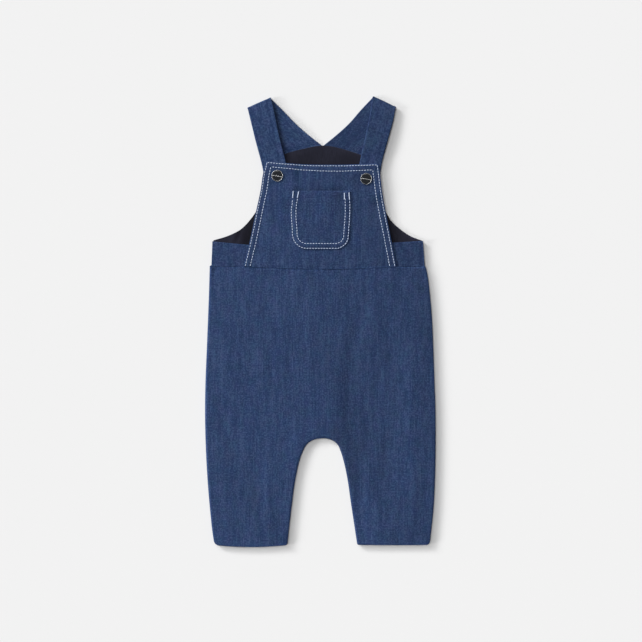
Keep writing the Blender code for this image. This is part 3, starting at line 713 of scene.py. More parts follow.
def tucked_waist(x):
    """The front's top edge runs a little way in below the bib and the bands; its left corner stands up."""
    return waist_line(x) + WAIST_TUCK + ridge("waist_corner", x - WAIST_CORNER_X)


def straight_waist(x):
    return np.full_like(x, WAIST_Y + BACK_TUCK)


def inseam_path(side):
    """Half of the arch between the legs, from the hem up to the crotch."""
    left = [(CENTRE_X - row.left, HEM_Y + row.up) for row in INSEAMS]
    right = [(CENTRE_X + row.right, HEM_Y + row.up) for row in INSEAMS]
    arch = path_through(left[::-1] + right[1:], np.linspace(0, 1, CURVE_STEPS + 1))
    crotch = int(np.argmax(arch[:, 1]))
    return arch[: crotch + 1] if side == "left" else arch[crotch:][::-1]


def trouser_half(side, inset, top_line):
    """Places for a grid over one half: u runs from the side seam to the middle, v up the leg."""
    inseam = inseam_path(side)
    inseam_shares = lengths_along(inseam) / lengths_along(inseam)[-1]
    shares, last = column(LEG_ROWS, "share"), LEG_ROWS[-1]
    hem, sign = HEMS[side], SIGNS[side]
    crotch_y = HEM_Y + CROTCH_UP + inset

    def place(u, v):
        on_leg = v < last.share - 1e-9
        upper = np.clip((v - last.share) / (1 - last.share), 0.0, 1.0)
        inner_share = np.interp(v, shares, column(LEG_ROWS, "inseam"))
        leg_x, leg_y = (np.interp(inner_share, inseam_shares, axis) for axis in inseam.T)
        inner_x = np.where(on_leg, leg_x + sign * inset, CENTRE_X)
        inner_y = np.where(on_leg, leg_y, between(crotch_y, WAIST_Y, upper))
        outer_up = np.interp(v, shares, column(LEG_ROWS, "side_up"))
        outer_up = outer_up + upper * (WAIST_Y - HEM_Y - last.side_up)
        outer_x = edge_x(TROUSER_SIDES, side, outer_up) - sign * inset
        x = between(outer_x, inner_x, u)
        y = between(HEM_Y + outer_up, inner_y, u)
        near_hem = ease(1 - v / LEG_ROWS[1].share)
        y = y + near_hem * (hem.lift - 4 * hem.bulge * u * (1 - u))
        x, y = round_corner(x, y, outer_x, HEM_Y + hem.lift, -sign, 1, hem.corner)
        x, y = round_corner(x, y, inner_x, HEM_Y + hem.lift, sign, 1, hem.inner_corner)
        return x, y + ease(upper * 2 - 1) * (top_line(x) - SEAM_GAP / 2 - WAIST_Y)

    return place


def trouser_parts(grid, top_line):
    """Two grids for each half of the trousers: the leg and what lies above the crotch."""
    crotch = LEG_ROWS[-1].share
    steps = np.array(EDGE_STEPS)
    low, high = steps / LEG_ROW_SPAN, 1 - steps[::-1] / BODY_ROW_SPAN
    legs = np.concatenate([low[:-1], np.linspace(low[-1], crotch, grid.leg_rows)])
    body = np.concatenate([np.linspace(crotch, high[0], grid.body_rows), high[1:]])
    across = spaced(grid.columns, HALF_WIDTH)
    parts = []
    for side in SIDES:
        place = trouser_half(side, grid.inset, top_line)
        parts.append((place, across, legs, ("start", "first", "last")))
        parts.append((place, across, body, ("end", "first")))
    return parts


def trouser_seams():
    """The sewn edges of the trousers: both side seams and the arch."""
    up = np.linspace(0.0, WAIST_Y - HEM_Y, 120)
    sides = [np.stack([edge_x(TROUSER_SIDES, side, up), HEM_Y + up], axis=1) for side in SIDES]
    arch = np.concatenate([inseam_path("left"), inseam_path("right")[::-1]])
    return *sides, arch[::8]


def hem_paths():
    u = np.linspace(0.0, 1.0, 40)
    return [np.stack(trouser_half(side, 0.0, waist_line)(u, 0 * u), axis=1) for side in SIDES]


def front_trousers_height(x, y):
    near, near_hem = nearest_of(x, y, trouser_seams()), nearest_of(x, y, hem_paths())
    rise = FRONT_RISE * rounded(near, EDGE_ROLL) + ridge("trouser_seam", near)
    rise = rise - HEM_ROLL_DEPTH * (1 - rounded(near_hem, EDGE_ROLL)) * rounded(near, EDGE_ROLL)
    folds = fold_heights(FRONT_FOLDS, x, y) + fold_heights(FRONT_CREASES, x, y)
    folds = (folds + lumps("front_trousers", x, y)) * ease(np.minimum(near, near_hem) / FOLD_FADE)
    below_waist = waist_line(x) - y
    sink = np.interp(x, column(WAIST_SINKS, "x"), column(WAIST_SINKS, "depth"))
    sink = sink * ease(1 - below_waist / WAIST_SINK_REACH)
    at_waist = (puckers("front_waist", below_waist, x) - sink) * ease(near / WAIST_FADE)
    return FRONT_EDGE_Z + rise + (folds + at_waist) + puckers("front_side", near, y) * ease(near / SIDE_FADE)


def back_trousers_height(x, y):
    inside = ease((nearest_of(x, y, trouser_seams()) - BACK_FLAT_EDGE) / BACK_BLEND)
    lift = fold_heights(BACK_FOLDS, x, y) + BACK_LIFT + lumps("back_trousers", x, y)
    return BACK_Z + np.clip(lift, 0.0, BACK_LIFT_MOST) * inside


# Bib


def bib_edges(y):
    """Where the bib's left and right edges lie."""
    return [edge_x(BIB_SIDES, side, y - WAIST_Y) for side in SIDES]


def bib_place(u, v):
    y = WAIST_Y + v * BIB_SIDES[-1].up
    for _ in range(3):
        left, right = bib_edges(y)
        x = between(left, right, u)
        low = waist_line(x) + SEAM_GAP / 2
        y = between(low, line_y(BIB_TOP, x), v)
    x, y = round_corner(x, y, left, BIB_TOP[0].y, 1, -1, BIB_CORNER)
    return round_corner(x, y, right, BIB_TOP[-1].y, -1, -1, BIB_CORNER)


def strap_cover(side):
    """The stretch of a strap that lies below the bib, as its middle line."""
    rows = STRAP_FRONT[side][3:]
    return np.array([((r.neck_x + r.arm_x) / 2, (r.neck_y + r.arm_y) / 2) for r in rows])


def bib_base(x, y):
    """The bib lies over the side bands at the bottom and over the straps at its top corners."""
    sideways = ease((np.abs(x) - BAND_COVER_X) / BAND_COVER_BLEND)
    on_band = sideways * ease((BAND_COVER_Y - y) / BAND_COVER_RISE)
    height = BIB_Z + (BIB_ON_BAND_Z - BIB_Z) * on_band
    for side in SIDES:
        beside = distance_to_path(x, y, strap_cover(side)) - STRAP_COVER
        height = height + (BIB_ON_STRAP_Z - BIB_Z) * ease(1 - beside / STRAP_COVER_BLEND)
    to_waist = ease((y - WAIST_Y) / WAIST_BLEND)
    return height + (1 - to_waist) * (1 - sideways) * (FRONT_EDGE_Z + FRONT_RISE - BIB_Z)


def bib_margins(x, y):
    """How far each point is inside the bib's sides and below its top edge."""
    left, right = bib_edges(y)
    return np.minimum(x - left, right - x), line_y(BIB_TOP, x) - y


def bib_height(x, y):
    near_side, near_top = bib_margins(x, y)
    above_waist = y - waist_line(x)
    folds = fold_heights(BIB_FOLDS, x, y) + lumps("bib", x, y)
    folds = folds * ease(np.minimum(near_side, near_top) / FOLD_FADE)
    gather = puckers("bib_waist", above_waist, x) + ridge("bib_waist", above_waist)
    side_ripple = puckers("bib_side", near_side - PUCKERS_INSIDE_EDGE, y)
    top_ripple = puckers("bib_top", near_top - PUCKERS_INSIDE_EDGE, x)
    return bib_base(x, y) + folds + gather + side_ripple + top_ripple


def bib_face(x, y):
    """What the bib's upper side adds: the turned border, the grooves of its rows, the snap seats."""
    near = np.minimum(*bib_margins(x, y))
    rows = sum(ridge("bib_row", near - inset) for inset in BIB_ROW_INSETS)
    beside_snaps = [np.hypot(x - snap.x, y - snap.y) - SNAP_RADIUS for snap in SNAPS.values()]
    return raised(BIB_BORDER, near) + rows + sum(ridge("snap_seat", beside) for beside in beside_snaps)


def bib_row(row):
    """The line of a bib row: up the left side, across the top and down the right side."""
    top_left = bib_edges(BIB_ROW_LEFT_Y)[0] + row.left
    top_right = bib_edges(BIB_ROW_RIGHT_Y)[1] - row.right
    across = np.linspace(top_left, top_right, ROW_POINTS)
    top_y = line_y(BIB_TOP, across) - np.interp(across, BIB_ROW_PLACES, row.top)
    up = np.linspace(WAIST_Y + ROW_START, top_y[0], ROW_POINTS)
    down = np.linspace(top_y[-1], WAIST_Y + ROW_START, ROW_POINTS)
    lines = (bib_edges(up)[0] + row.left, up), (across, top_y), (bib_edges(down)[1] - row.right, down)
    return [np.stack(line, axis=1) for line in lines]


# Pocket


def pocket_side(side, v):
    """One side of the pocket from its bottom edge, round the corner and up to the mouth."""
    corner = POCKET_CORNERS[side]
    turn = np.clip(v / POCKET_CORNER_ROWS, 0.0, 1.0) * math.pi / 2
    straight = np.clip((v - POCKET_CORNER_ROWS) / (1 - POCKET_CORNER_ROWS), 0.0, 1.0)
    corner_top = POCKET_BOTTOM_Y + corner
    y = corner_top - corner * np.cos(turn) + straight * (POCKET_TOP_Y - corner_top)
    x = edge_x(POCKET_SIDES, side, y - POCKET_BOTTOM_Y)
    return x - SIGNS[side] * corner * (1 - np.sin(turn)), y


def pocket_place(u, v):
    """A patch with a straight mouth and two round lower corners."""
    left, right = pocket_side("left", v), pocket_side("right", v)
    return between(left[0], right[0], u), between(left[1], right[1], u)


def pocket_row(row):
    """A line round the pocket without its mouth, inside its edge by the row's insets."""
    v = np.concatenate([np.linspace(1, POCKET_CORNER_ROWS, 20), np.linspace(POCKET_CORNER_ROWS, 0, 24)[1:]])
    left, right = (np.stack(pocket_place(np.full_like(v, u), v), axis=1) for u in (0.0, 1.0))
    edge = np.concatenate([left, right[::-1]])
    run = np.gradient(edge, axis=0)
    inward = np.stack([-run[:, 1], run[:, 0]], axis=1) / np.linalg.norm(run, axis=1)[:, None]
    insets = np.interp(np.linspace(0, 1, len(edge)), POCKET_ROW_SHARES, np.repeat(row, 2))
    return edge + inward * insets[:, None]


def pocket_margin(x, y):
    return distance_to_path(x, y, pocket_row(PocketRow(0.0, 0.0, 0.0)))


def pocket_height(x, y):
    """The pocket follows the bib, and its mouth stands a little open."""
    near = pocket_margin(x, y)
    middle = ease(1 - np.abs(x - POCKET_X) / POCKET_HALF)
    gape = middle * ridge("pocket_mouth", np.clip(POCKET_TOP_Y - y, 0, None))
    inner = (POCKET_BULGE * middle + lumps("pocket", x, y)) * ease(near / POCKET_FADE)
    return bib_base(x, y) + DENIM + SEAM_GAP + ridge("pocket_edge", near) + gape + inner


def pocket_face(x, y):
    """What the pocket's upper side adds: its border, its mouth's hem and the grooves of its rows."""
    near = pocket_margin(x, y)
    border = raised(POCKET_BORDER, near) + raised(POCKET_HEM, POCKET_TOP_Y - y)
    return border + sum(ridge("pocket_row", near - row.left) for row in POCKET_ROWS)


# Side bands, back and lining


def band_place(side):
    band = SIDE_BANDS[side]

    def place(u, v):
        x = between(between(band.waist_x, band.top_x, v), band.inner_x, u)
        high = between(band.top_y, band.inner_y, u)
        return x, between(waist_line(x) + SEAM_GAP / 2, high, v)

    return place


def band_height(x, y):
    tops = [((band.top_x, band.top_y), (band.inner_x, band.inner_y)) for band in SIDE_BANDS.values()]
    below_top = nearest_of(x, y, np.array(tops))
    hem = ridge("band_hem", below_top) + ridge("band_row", below_top - BAND_ROW_INSET)
    gather = puckers("band_waist", y - waist_line(x), x)
    return BAND_Z + gather + lumps("side_band", x, y) + hem - BAND_SINK


def back_edge(side, v):
    """The back's side edge up to the armhole, then the armhole up to the strap seam."""
    corner, seam_x, seam_y = ARMHOLES[side][0], SIDE_BANDS[side].waist_x, WAIST_Y + SEAM_GAP / 2
    lower = np.clip(v / SIDE_EDGE_ROWS, 0.0, 1.0)
    upper = np.clip((v - SIDE_EDGE_ROWS) / (1 - SIDE_EDGE_ROWS), 0.0, 1.0)
    armhole = path_through(ARMHOLES[side], upper.ravel()).reshape(*upper.shape, 2)
    x = np.where(v < SIDE_EDGE_ROWS, between(seam_x, corner.x, lower), armhole[..., 0])
    y = np.where(v < SIDE_EDGE_ROWS, between(seam_y, corner.y, lower), armhole[..., 1])
    return x, y


def back_place(inset, over=0.0):
    """The back inside its side edges, its top edge this far over the start of the straps."""

    def place(u, v):
        left, right = back_edge("left", v), back_edge("right", v)
        x = between(left[0] + inset, right[0] - inset, u)
        y = between(left[1], right[1], u)
        rise = line_y(STRAP_SEAM, x) - STRAP_SEAM[0].y - SEAM_GAP / 2 + over
        return x, y + rise * ease((v + SEAM_RISE_ROWS - 1) / SEAM_RISE_ROWS)

    return place


def bodice_height(x, y):
    """The back bodice lies flat."""
    return np.full(np.broadcast(x, y).shape, BACK_Z)


def lining_height(x, y):
    dip = ridge("lining_top", np.clip(line_y(STRAP_SEAM, x) - y, 0, None))
    uneven = lumps("back_lining", x, y) + fold_heights(LINING_FOLDS, x, y)
    return LINING_Z + uneven + dip * ease((y - LINING_DIP_Y) / LINING_DIP_BLEND)


# Straps


def strap_line(rows, share):
    """Neck edge, arm edge and height at each share of a stretch of strap."""
    lines = np.array(rows)
    middle = (lines[:, 0:2] + lines[:, 2:4]) / 2
    knots = lengths_along(middle) / lengths_along(middle)[-1]
    return [smooth(knots, values, share) for values in lines.T]


def strap_place(side):
    """A ribbon: v runs up the back, round the shoulder fold and down the front."""
    start, fold = STRAP_BACK[side][0], STRAP_BACK[side][-1]
    fold_run = np.array([fold.arm_x - fold.neck_x, fold.arm_y - fold.neck_y])
    outward = np.array([fold_run[1], -fold_run[0]]) / np.linalg.norm(fold_run)
    outward = outward * math.copysign(1.0, outward[1])

    def place(u, v):
        back = strap_line(STRAP_BACK[side], np.clip(v / STRAP_BACK_ROWS, 0, 1))
        front = strap_line(STRAP_FRONT[side], np.clip((v - STRAP_FOLD_ROWS) / (1 - STRAP_FOLD_ROWS), 0, 1))
        on_front = v > (STRAP_BACK_ROWS + STRAP_FOLD_ROWS) / 2
        neck_x, neck_y, arm_x, arm_y, height = (np.where(on_front, f, b) for f, b in zip(front, back))
        turn = np.clip((v - STRAP_BACK_ROWS) / (STRAP_FOLD_ROWS - STRAP_BACK_ROWS), 0, 1) * math.pi
        reach, lift = FOLD_RADIUS * np.sin(turn), FOLD_RADIUS * (1 - np.cos(turn))
        x = between(neck_x, arm_x, u) + outward[0] * reach
        y = between(neck_y, arm_y, u) + outward[1] * reach
        z = np.where((turn > 0) & (turn < math.pi), fold.height + lift, height)
        seam_x, seam_y = between(start.neck_x, start.arm_x, u), between(start.neck_y, start.arm_y, u)
        to_seam = line_y(STRAP_SEAM, seam_x) + SEAM_GAP / 2 - seam_y
        return np.stack([x, y + to_seam * ease(1 - 2 * v / STRAP_BACK_ROWS), z], axis=-1)

    return place


def strap_shells(side):
    """A ribbon with thickness along its own normals, pressed thin where the back takes it in."""
    node, sign, place = "strap_" + side, -SIGNS[side], strap_place(side)
    grid = GRIDS["strap"]
    u, v = np.meshgrid(spaced(grid.columns, grid.width), spaced(grid.rows, grid.length))
    middle = place(u, v)
    normal = np.cross(np.gradient(middle, axis=1), np.gradient(middle, axis=0)) * sign
    normal /= np.maximum(np.linalg.norm(normal, axis=-1, keepdims=True), 1e-9)
    across = np.linalg.norm(place(np.ones_like(u), v) - place(np.zeros_like(u), v), axis=-1)
    run = lengths_along(place(np.full(v.shape[0], 0.5), v[:, 0]))
    along = np.repeat(run[:, None], v.shape[1], axis=1)
    edge = np.minimum(np.minimum(u, 1 - u) * across, np.minimum(along, run[-1] - along))
    half = STRAP_WALL / 2 * rounded(edge, STRAP_WALL / 2)
    full, cross = ease(edge / STRAP_FADE), (u - 0.5) * across
    outside = lumps("strap_out_" + side, cross, along) + puckers(node, edge - STRAP_PUCKER_INSET, along)
    inside = lumps("strap_in_" + side, cross, along) - STRAP_HOLLOW
    outer = half + (outside + ridge("strap_row", edge - STRAP_ROW_INSET)) * full
    inner = half + inside * full - 2 * half * STRAP_PRESS * bump(along, STRAP_PRESS_REACH)
    up, down = middle + normal * outer[..., None], middle - normal * inner[..., None]
    for face in (up, down):
        face[..., 2] = np.maximum(face[..., 2], OFF_TABLE)
    grain = np.stack([cross, along, np.full_like(u, STRAP_DEPTH * sign)], axis=-1)
    # Painted shadow: the left strap's back layer is painted darker beside the front layer's edge, where that
    # layer's shadow falls
    shade = fold_heights(PAINTED_STREAKS.get(node, ()), middle[..., 0], middle[..., 1])
    tone_and_painted_light = TONES_AND_PAINTED_LIGHT[node].shade + shade * (middle[..., 2] < STRAP_BACK_TOP)
    return [(up, down, grain, bump(edge, STRAP_WEAR_REACH) * TONES_AND_PAINTED_LIGHT[node].wear, tone_and_painted_light, side == "right")]


# Cloth shells

# The flat pieces: the height of the wall's middle, the wall, what its upper side adds, how much of
# its edges is pressed away, and how deep the piece lies in the noise of the weave
Panel = namedtuple("Panel", "height wall face press depth")
PANELS = {
    "back_trousers": Panel(back_trousers_height, DENIM, None, 0.0, 90.0),
    "front_trousers": Panel(front_trousers_height, DENIM, None, 0.0, 0.0),
    "back_bodice": Panel(bodice_height, DENIM, None, 0.0, 130.0),
    "back_lining": Panel(lining_height, JERSEY, None, 0.0, 0.0),
    "side_band_left": Panel(band_height, DENIM, None, 0.0, 160.0),
    "side_band_right": Panel(band_height, DENIM, None, 0.0, 160.0),
    "bib": Panel(bib_height, DENIM, bib_face, 0.25, 200.0),
    "pocket": Panel(pocket_height, DENIM, pocket_face, 0.42, 230.0),
}
BORDERS = {"start": np.s_[0], "end": np.s_[-1], "first": np.s_[:, 0], "last": np.s_[:, -1]}


def spaced(count, length):
    """Places from 0 to 1 for a side of this length, closer together near both ends."""
    near = np.array(EDGE_STEPS) / length
    middle = np.linspace(near[-1], 1 - near[-1], count)
    return np.concatenate([near[:-1], middle, 1 - near[:-1][::-1]])


def whole_piece(place, grid):
    """One grid for a whole piece, with an open edge all round."""
    return [(place, spaced(grid.columns, grid.width), spaced(grid.rows, grid.length), tuple(BORDERS))]


def tone_and_painted_light_at(node, x, y):
    """The tone at each point, with painted light and shade: darker to the right, the painted streaks, and
    painted shade on the lining beside the bib.
    """
    tone_and_painted_light = TONES_AND_PAINTED_LIGHT[node]
    shade = tone_and_painted_light.shade - tone_and_painted_light.fall * x + fold_heights(PAINTED_STREAKS.get(node, ()), x, y)
    if node == "back_lining":
        in_armhole = ease((ARMHOLE_TOP_Y - y) / ARMHOLE_BLEND)
        beside_bib = np.interp(np.abs(x), ARMHOLE_X, ARMHOLE_PAINTED_SHADE)
        in_neck = ease((y - NECK_Y) / NECK_BLEND)
        shade = shade * (1 + in_armhole * (beside_bib - 1) + NECK_SHADE * in_neck)
    return shade


def flat_shells(node, parts):
    """The shells of a piece that lies flat; each part is (place, u, v, open sides)."""
    panel = PANELS[node]
    grids = [place(*np.meshgrid(u, v)) for place, u, v, _ in parts]
    borders = []
    for (x, y), (_, _, _, open_sides) in zip(grids, parts):
        borders += [np.stack([x[BORDERS[name]], y[BORDERS[name]]], axis=-1) for name in open_sides]
    shells = []
    for x, y in grids:
        edge = nearest_of(x, y, borders)
        middle = panel.height(x, y)
        half = panel.wall / 2 * rounded(edge, panel.wall / 2)
        face = panel.face(x, y) * ease(edge / FACE_FADE) if panel.face else 0.0
        upper = middle + (half * (1 - 2 * panel.press * bump(edge, PRESS_REACH)) + face)
        grain = np.stack([x, y, np.full_like(x, panel.depth)], axis=-1)
        flip = np.mean(np.gradient(x, axis=1)) * np.mean(np.gradient(y, axis=0)) < 0
        # Painted light: the pale edge is lessened on the left-facing, lit edges, the right-facing edges away
        # from the light are painted lighter, and a strip along the left side seam is painted bluer
        facing = 2 * (x - x.mean(axis=1, keepdims=True)) / np.ptp(x, axis=1)[:, None]
        wear = bump(edge, WEAR_REACH) * TONES_AND_PAINTED_LIGHT[node].wear * (1 - LIT_EDGE_WEAR_LOSS * np.clip(-facing, 0, 1))
        wear += fold_heights(PAINTED_LIGHT_STRIPS.get(node, ()), x, y)
        painted_edge_light = RIGHT_EDGE_PAINTED_LIGHT * bump(edge, LIGHT_REACH) * np.clip(facing, 0, 1)
        tone_and_painted_light = tone_and_painted_light_at(node, x, y) * (1 + painted_edge_light)
        top, bottom = (np.stack([x, y, z], axis=-1) for z in (upper, middle - half))
        shells.append((top, bottom, grain, wear, tone_and_painted_light, flip))
    return shells


def grid_faces(rows, columns, flip):
    index = np.arange(rows * columns).reshape(rows, columns)
    faces = [index[:-1, :-1], index[:-1, 1:], index[1:, 1:], index[1:, :-1]]
    faces = np.stack([face.ravel() for face in faces], axis=1)
    return faces[:, ::-1] if flip else faces


def cloth_object(name, shells, material):
    """One object of shells, with a direction of grain, a wear with painted light and a tone with painted
    light and shade for each point.
    """
    grids, values = [], {"grain": [], "wear": [], "tone_and_painted_light": []}
    for top, bottom, grain, wear, tone_and_painted_light, flip in shells:
        for points, depth, over in ((top, 0.0, flip), (bottom, UNDERSIDE_DEPTH, not flip)):
            grids.append((points.reshape(-1, 3), grid_faces(*points.shape[:2], over).tolist()))
            values["grain"].append((grain + (0.0, 0.0, depth)).ravel())
            values["wear"].append(wear.ravel())
            values["tone_and_painted_light"].append(tone_and_painted_light.ravel())
    item = mesh_object(name, *joined(grids), material)
    for key, parts in values.items():
        kind, field = ("FLOAT_VECTOR", "vector") if key == "grain" else ("FLOAT", "value")
        layer = item.data.attributes.new(key, kind, "POINT")
        layer.data.foreach_set(field, np.concatenate(parts).astype(np.float32))
    shape = bmesh.new()
    shape.from_mesh(item.data)
    bmesh.ops.remove_doubles(shape, verts=shape.verts, dist=MERGE)
    bmesh.ops.dissolve_degenerate(shape, edges=shape.edges, dist=1e-7)
    bmesh.ops.recalc_face_normals(shape, faces=shape.faces)
    shape.to_mesh(item.data)
    shape.free()
    return item


# Meshes


def add_object(name, data):
    item = bpy.data.objects.new(name, data)
    bpy.context.scene.collection.objects.link(item)
    return item


def mesh_object(name, points, faces, material):
    """A smooth object, from points in millimetres."""
    mesh = bpy.data.meshes.new(name)
    mesh.from_pydata((np.asarray(points) * MM).tolist(), [], faces)
    mesh.polygons.foreach_set("use_smooth", [True] * len(mesh.polygons))
    mesh.materials.append(material)
    return add_object(name, mesh)


def joined(shapes):
    """The points and faces of several shapes as those of one."""
    points, faces, count = [], [], 0
    for shape_points, shape_faces in shapes:
        points.append(shape_points)
        faces.extend([i + count for i in face] for face in shape_faces)
        count += len(shape_points)
    return np.concatenate(points), faces


def ring_faces(rings, around, flip=False):
    """The faces of a closed tube of rings of points."""
    first = np.arange(rings * around).reshape(rings, around)
    second = np.roll(first, -1, axis=1)
    sides = np.stack([first[:-1], first[1:], second[1:], second[:-1]], axis=-1).reshape(-1, 4)
    caps = first[0], first[-1, ::-1]
    if flip:
        sides, caps = sides[:, [0, 3, 2, 1]], [cap[::-1] for cap in caps]
    return sides.tolist() + [cap.tolist() for cap in caps]


# Stitching


def resample(path, pitch):
    """Points along a path at this pitch, with their directions."""
    along = lengths_along(path)
    count = max(int(round(along[-1] / pitch)), 1)
    middles = (np.arange(count) + 0.5) * along[-1] / count
    ends = [along_path(middles + d, along, path) for d in (-RUN_REACH, RUN_REACH)]
    run = ends[1] - ends[0]
    return (ends[0] + ends[1]) / 2, run / np.linalg.norm(run, axis=1)[:, None]


def stitch_template(steps=9, around=8):
    """One stitch along +X: a two-ply thread that comes up out of the cloth and goes back down."""
    t = np.linspace(-1, 1, steps)[:, None]
    angle = np.linspace(0, 2 * math.pi, around, endpoint=False)
    round_end = np.sqrt(np.clip(1 - np.abs(t) ** 5, 0.0, 1.0)) * 0.9 + 0.1
    ply = 1 + PLY_DEPTH * np.cos(2 * angle - PLY_TWIST * t)
    across = np.cos(angle) * THREAD_WIDTH / 2 * ply * round_end
    height = np.sin(angle) * THREAD_HEIGHT / 2 * ply * round_end - THREAD_DIVE * t**4 + THREAD_LIFT
    along = np.broadcast_to(t * STITCH_LENGTH / 2, across.shape)
    return np.stack([along, across, height], axis=-1).reshape(-1, 3), ring_faces(steps, around, flip=True)


def stitch_rows(name, rows, surface, material, seed):
    """Every stitch of these rows as one object, each lying on the surface below it."""
    rng = np.random.default_rng(seed)
    template, faces = stitch_template()
    stitches = []
    for middle, direction in (place for path in rows for place in zip(*resample(path, STITCH_PITCH))):
        tilt = rng.normal(0.0, STITCH_TILT)
        cos, sin = math.cos(tilt), math.sin(tilt)
        run = np.array([direction[0] * cos - direction[1] * sin, direction[0] * sin + direction[1] * cos])
        side = np.array([-run[1], run[0]])
        stretch = 1 + rng.normal(0.0, STITCH_STRETCH)
        centre = middle + side * rng.normal(0.0, STITCH_DRIFT)
        start_z, end_z = surface(*np.array([centre - run * STITCH_FOOT, centre + run * STITCH_FOOT]).T)
        flat = template[:, 0:1] * stretch * run + template[:, 1:2] * side + centre
        slope = (end_z - start_z) / (2 * STITCH_FOOT)
        z = template[:, 2] + (start_z + end_z) / 2 + slope * template[:, 0]
        stitches.append((np.column_stack([flat, z]), faces))
    return mesh_object(name, *joined(stitches), material)


def tube(path, radius_x, radius_z, around=8):
    """A thread along a path of points in space."""
    run = np.gradient(path, axis=0)
    run /= np.linalg.norm(run, axis=1)[:, None]
    side = np.cross(run, (0.0, 0.0, 1.0))
    side /= np.linalg.norm(side, axis=1)[:, None]
    up = np.cross(side, run)
    angle = np.linspace(0, 2 * math.pi, around, endpoint=False)
    rings = [
        centre + np.outer(np.cos(angle) * radius_x, s) + np.outer(np.sin(angle) * radius_z, w)
        for centre, s, w in zip(path, side, up)
    ]
    return np.concatenate(rings), ring_faces(len(path), around)


def bar_tacks(name, surface, material):
    """A dense zigzag at each top end of the pocket's rows."""
    tacks = []
    for tack in POCKET_TACKS:
        run = np.array([tack.x1 - tack.x0, tack.y1 - tack.y0])
        steps = int(np.linalg.norm(run) / TACK_STEP)
        side = np.array([-run[1], run[0]]) / np.linalg.norm(run) * TACK_HALF_WIDTH
        step = np.arange(steps)
        zigzag = np.outer((-1.0) ** step, side)
        corners = np.array([tack.x0, tack.y0]) + np.outer(step / (steps - 1), run) + zigzag
        fine = np.linspace(0, steps - 1, (steps - 1) * 4 + 1)
        flat = along_path(fine, step, corners)
        lift = TACK_LIFT + TACK_ARCH * np.sin(math.pi * (fine % 1)) ** 2
        tacks.append(tube(np.column_stack([flat, surface(*flat.T) + lift]), *TACK_RADII))
    return mesh_object(name, *joined(tacks), material)


# Snaps


def turned(profile, steps, centre):
    """Points and faces of a closed shape, turned round an upright axis through the centre."""
    angle = np.linspace(0, 2 * math.pi, steps, endpoint=False)
    around = np.stack([np.cos(angle), np.sin(angle)], axis=1)
    rings = [np.column_stack([around * radius, np.full(steps, height)]) for radius, height in profile[1:-1]]
    points = np.concatenate([[(0.0, 0.0, profile[0][1])], *rings, [(0.0, 0.0, profile[-1][1])]])
    last, faces = len(points) - 1, []
    for j in range(steps):
        k = (j + 1) % steps
        faces.append((0, 1 + j, 1 + k))
        faces += [(a + j, a + steps + j, a + steps + k, a + k) for a in range(1, last - steps, steps)]
        faces.append((last - steps + j, last, last - steps + k))
    return points + centre, faces


def snap_centre(side):
    snap = SNAPS[side]
    z = bib_base(np.array([snap.x]), np.array([snap.y]))[0] + DENIM / 2 + SNAP_LIFT
    return np.array([snap.x, snap.y, z])


def snap_bar(side):
    """The flat bar across the cap, a little bent."""
    t = np.linspace(-1, 1, 25)
    lean = math.radians(SNAPS[side].bar_degrees)
    along, across = t * BAR_REACH, -BAR_BEND * np.sin(t * math.pi) - BAR_SHIFT
    x = along * math.cos(lean) - across * math.sin(lean)
    y = along * math.sin(lean) + across * math.cos(lean)
    path = np.stack([x, y, BAR_HEIGHT + BAR_CROWN * (1 - t**2)], axis=1)
    return tube(snap_centre(side) + path, *BAR_RADII, around=16)


def make_snap(side, silver, enamel):
    cup = joined([turned(SNAP_CUP, SNAP_STEPS, snap_centre(side)), snap_bar(side)])
    face = turned(SNAP_FACE, SNAP_STEPS, snap_centre(side))
    belongs(mesh_object("snap_metal_" + side, *cup, silver), ("snap_cup_" + side,), "snap_metal")
    belongs(mesh_object("snap_enamel_" + side, *face, enamel), ("snap_face_" + side,), "snap_enamel")


# Materials


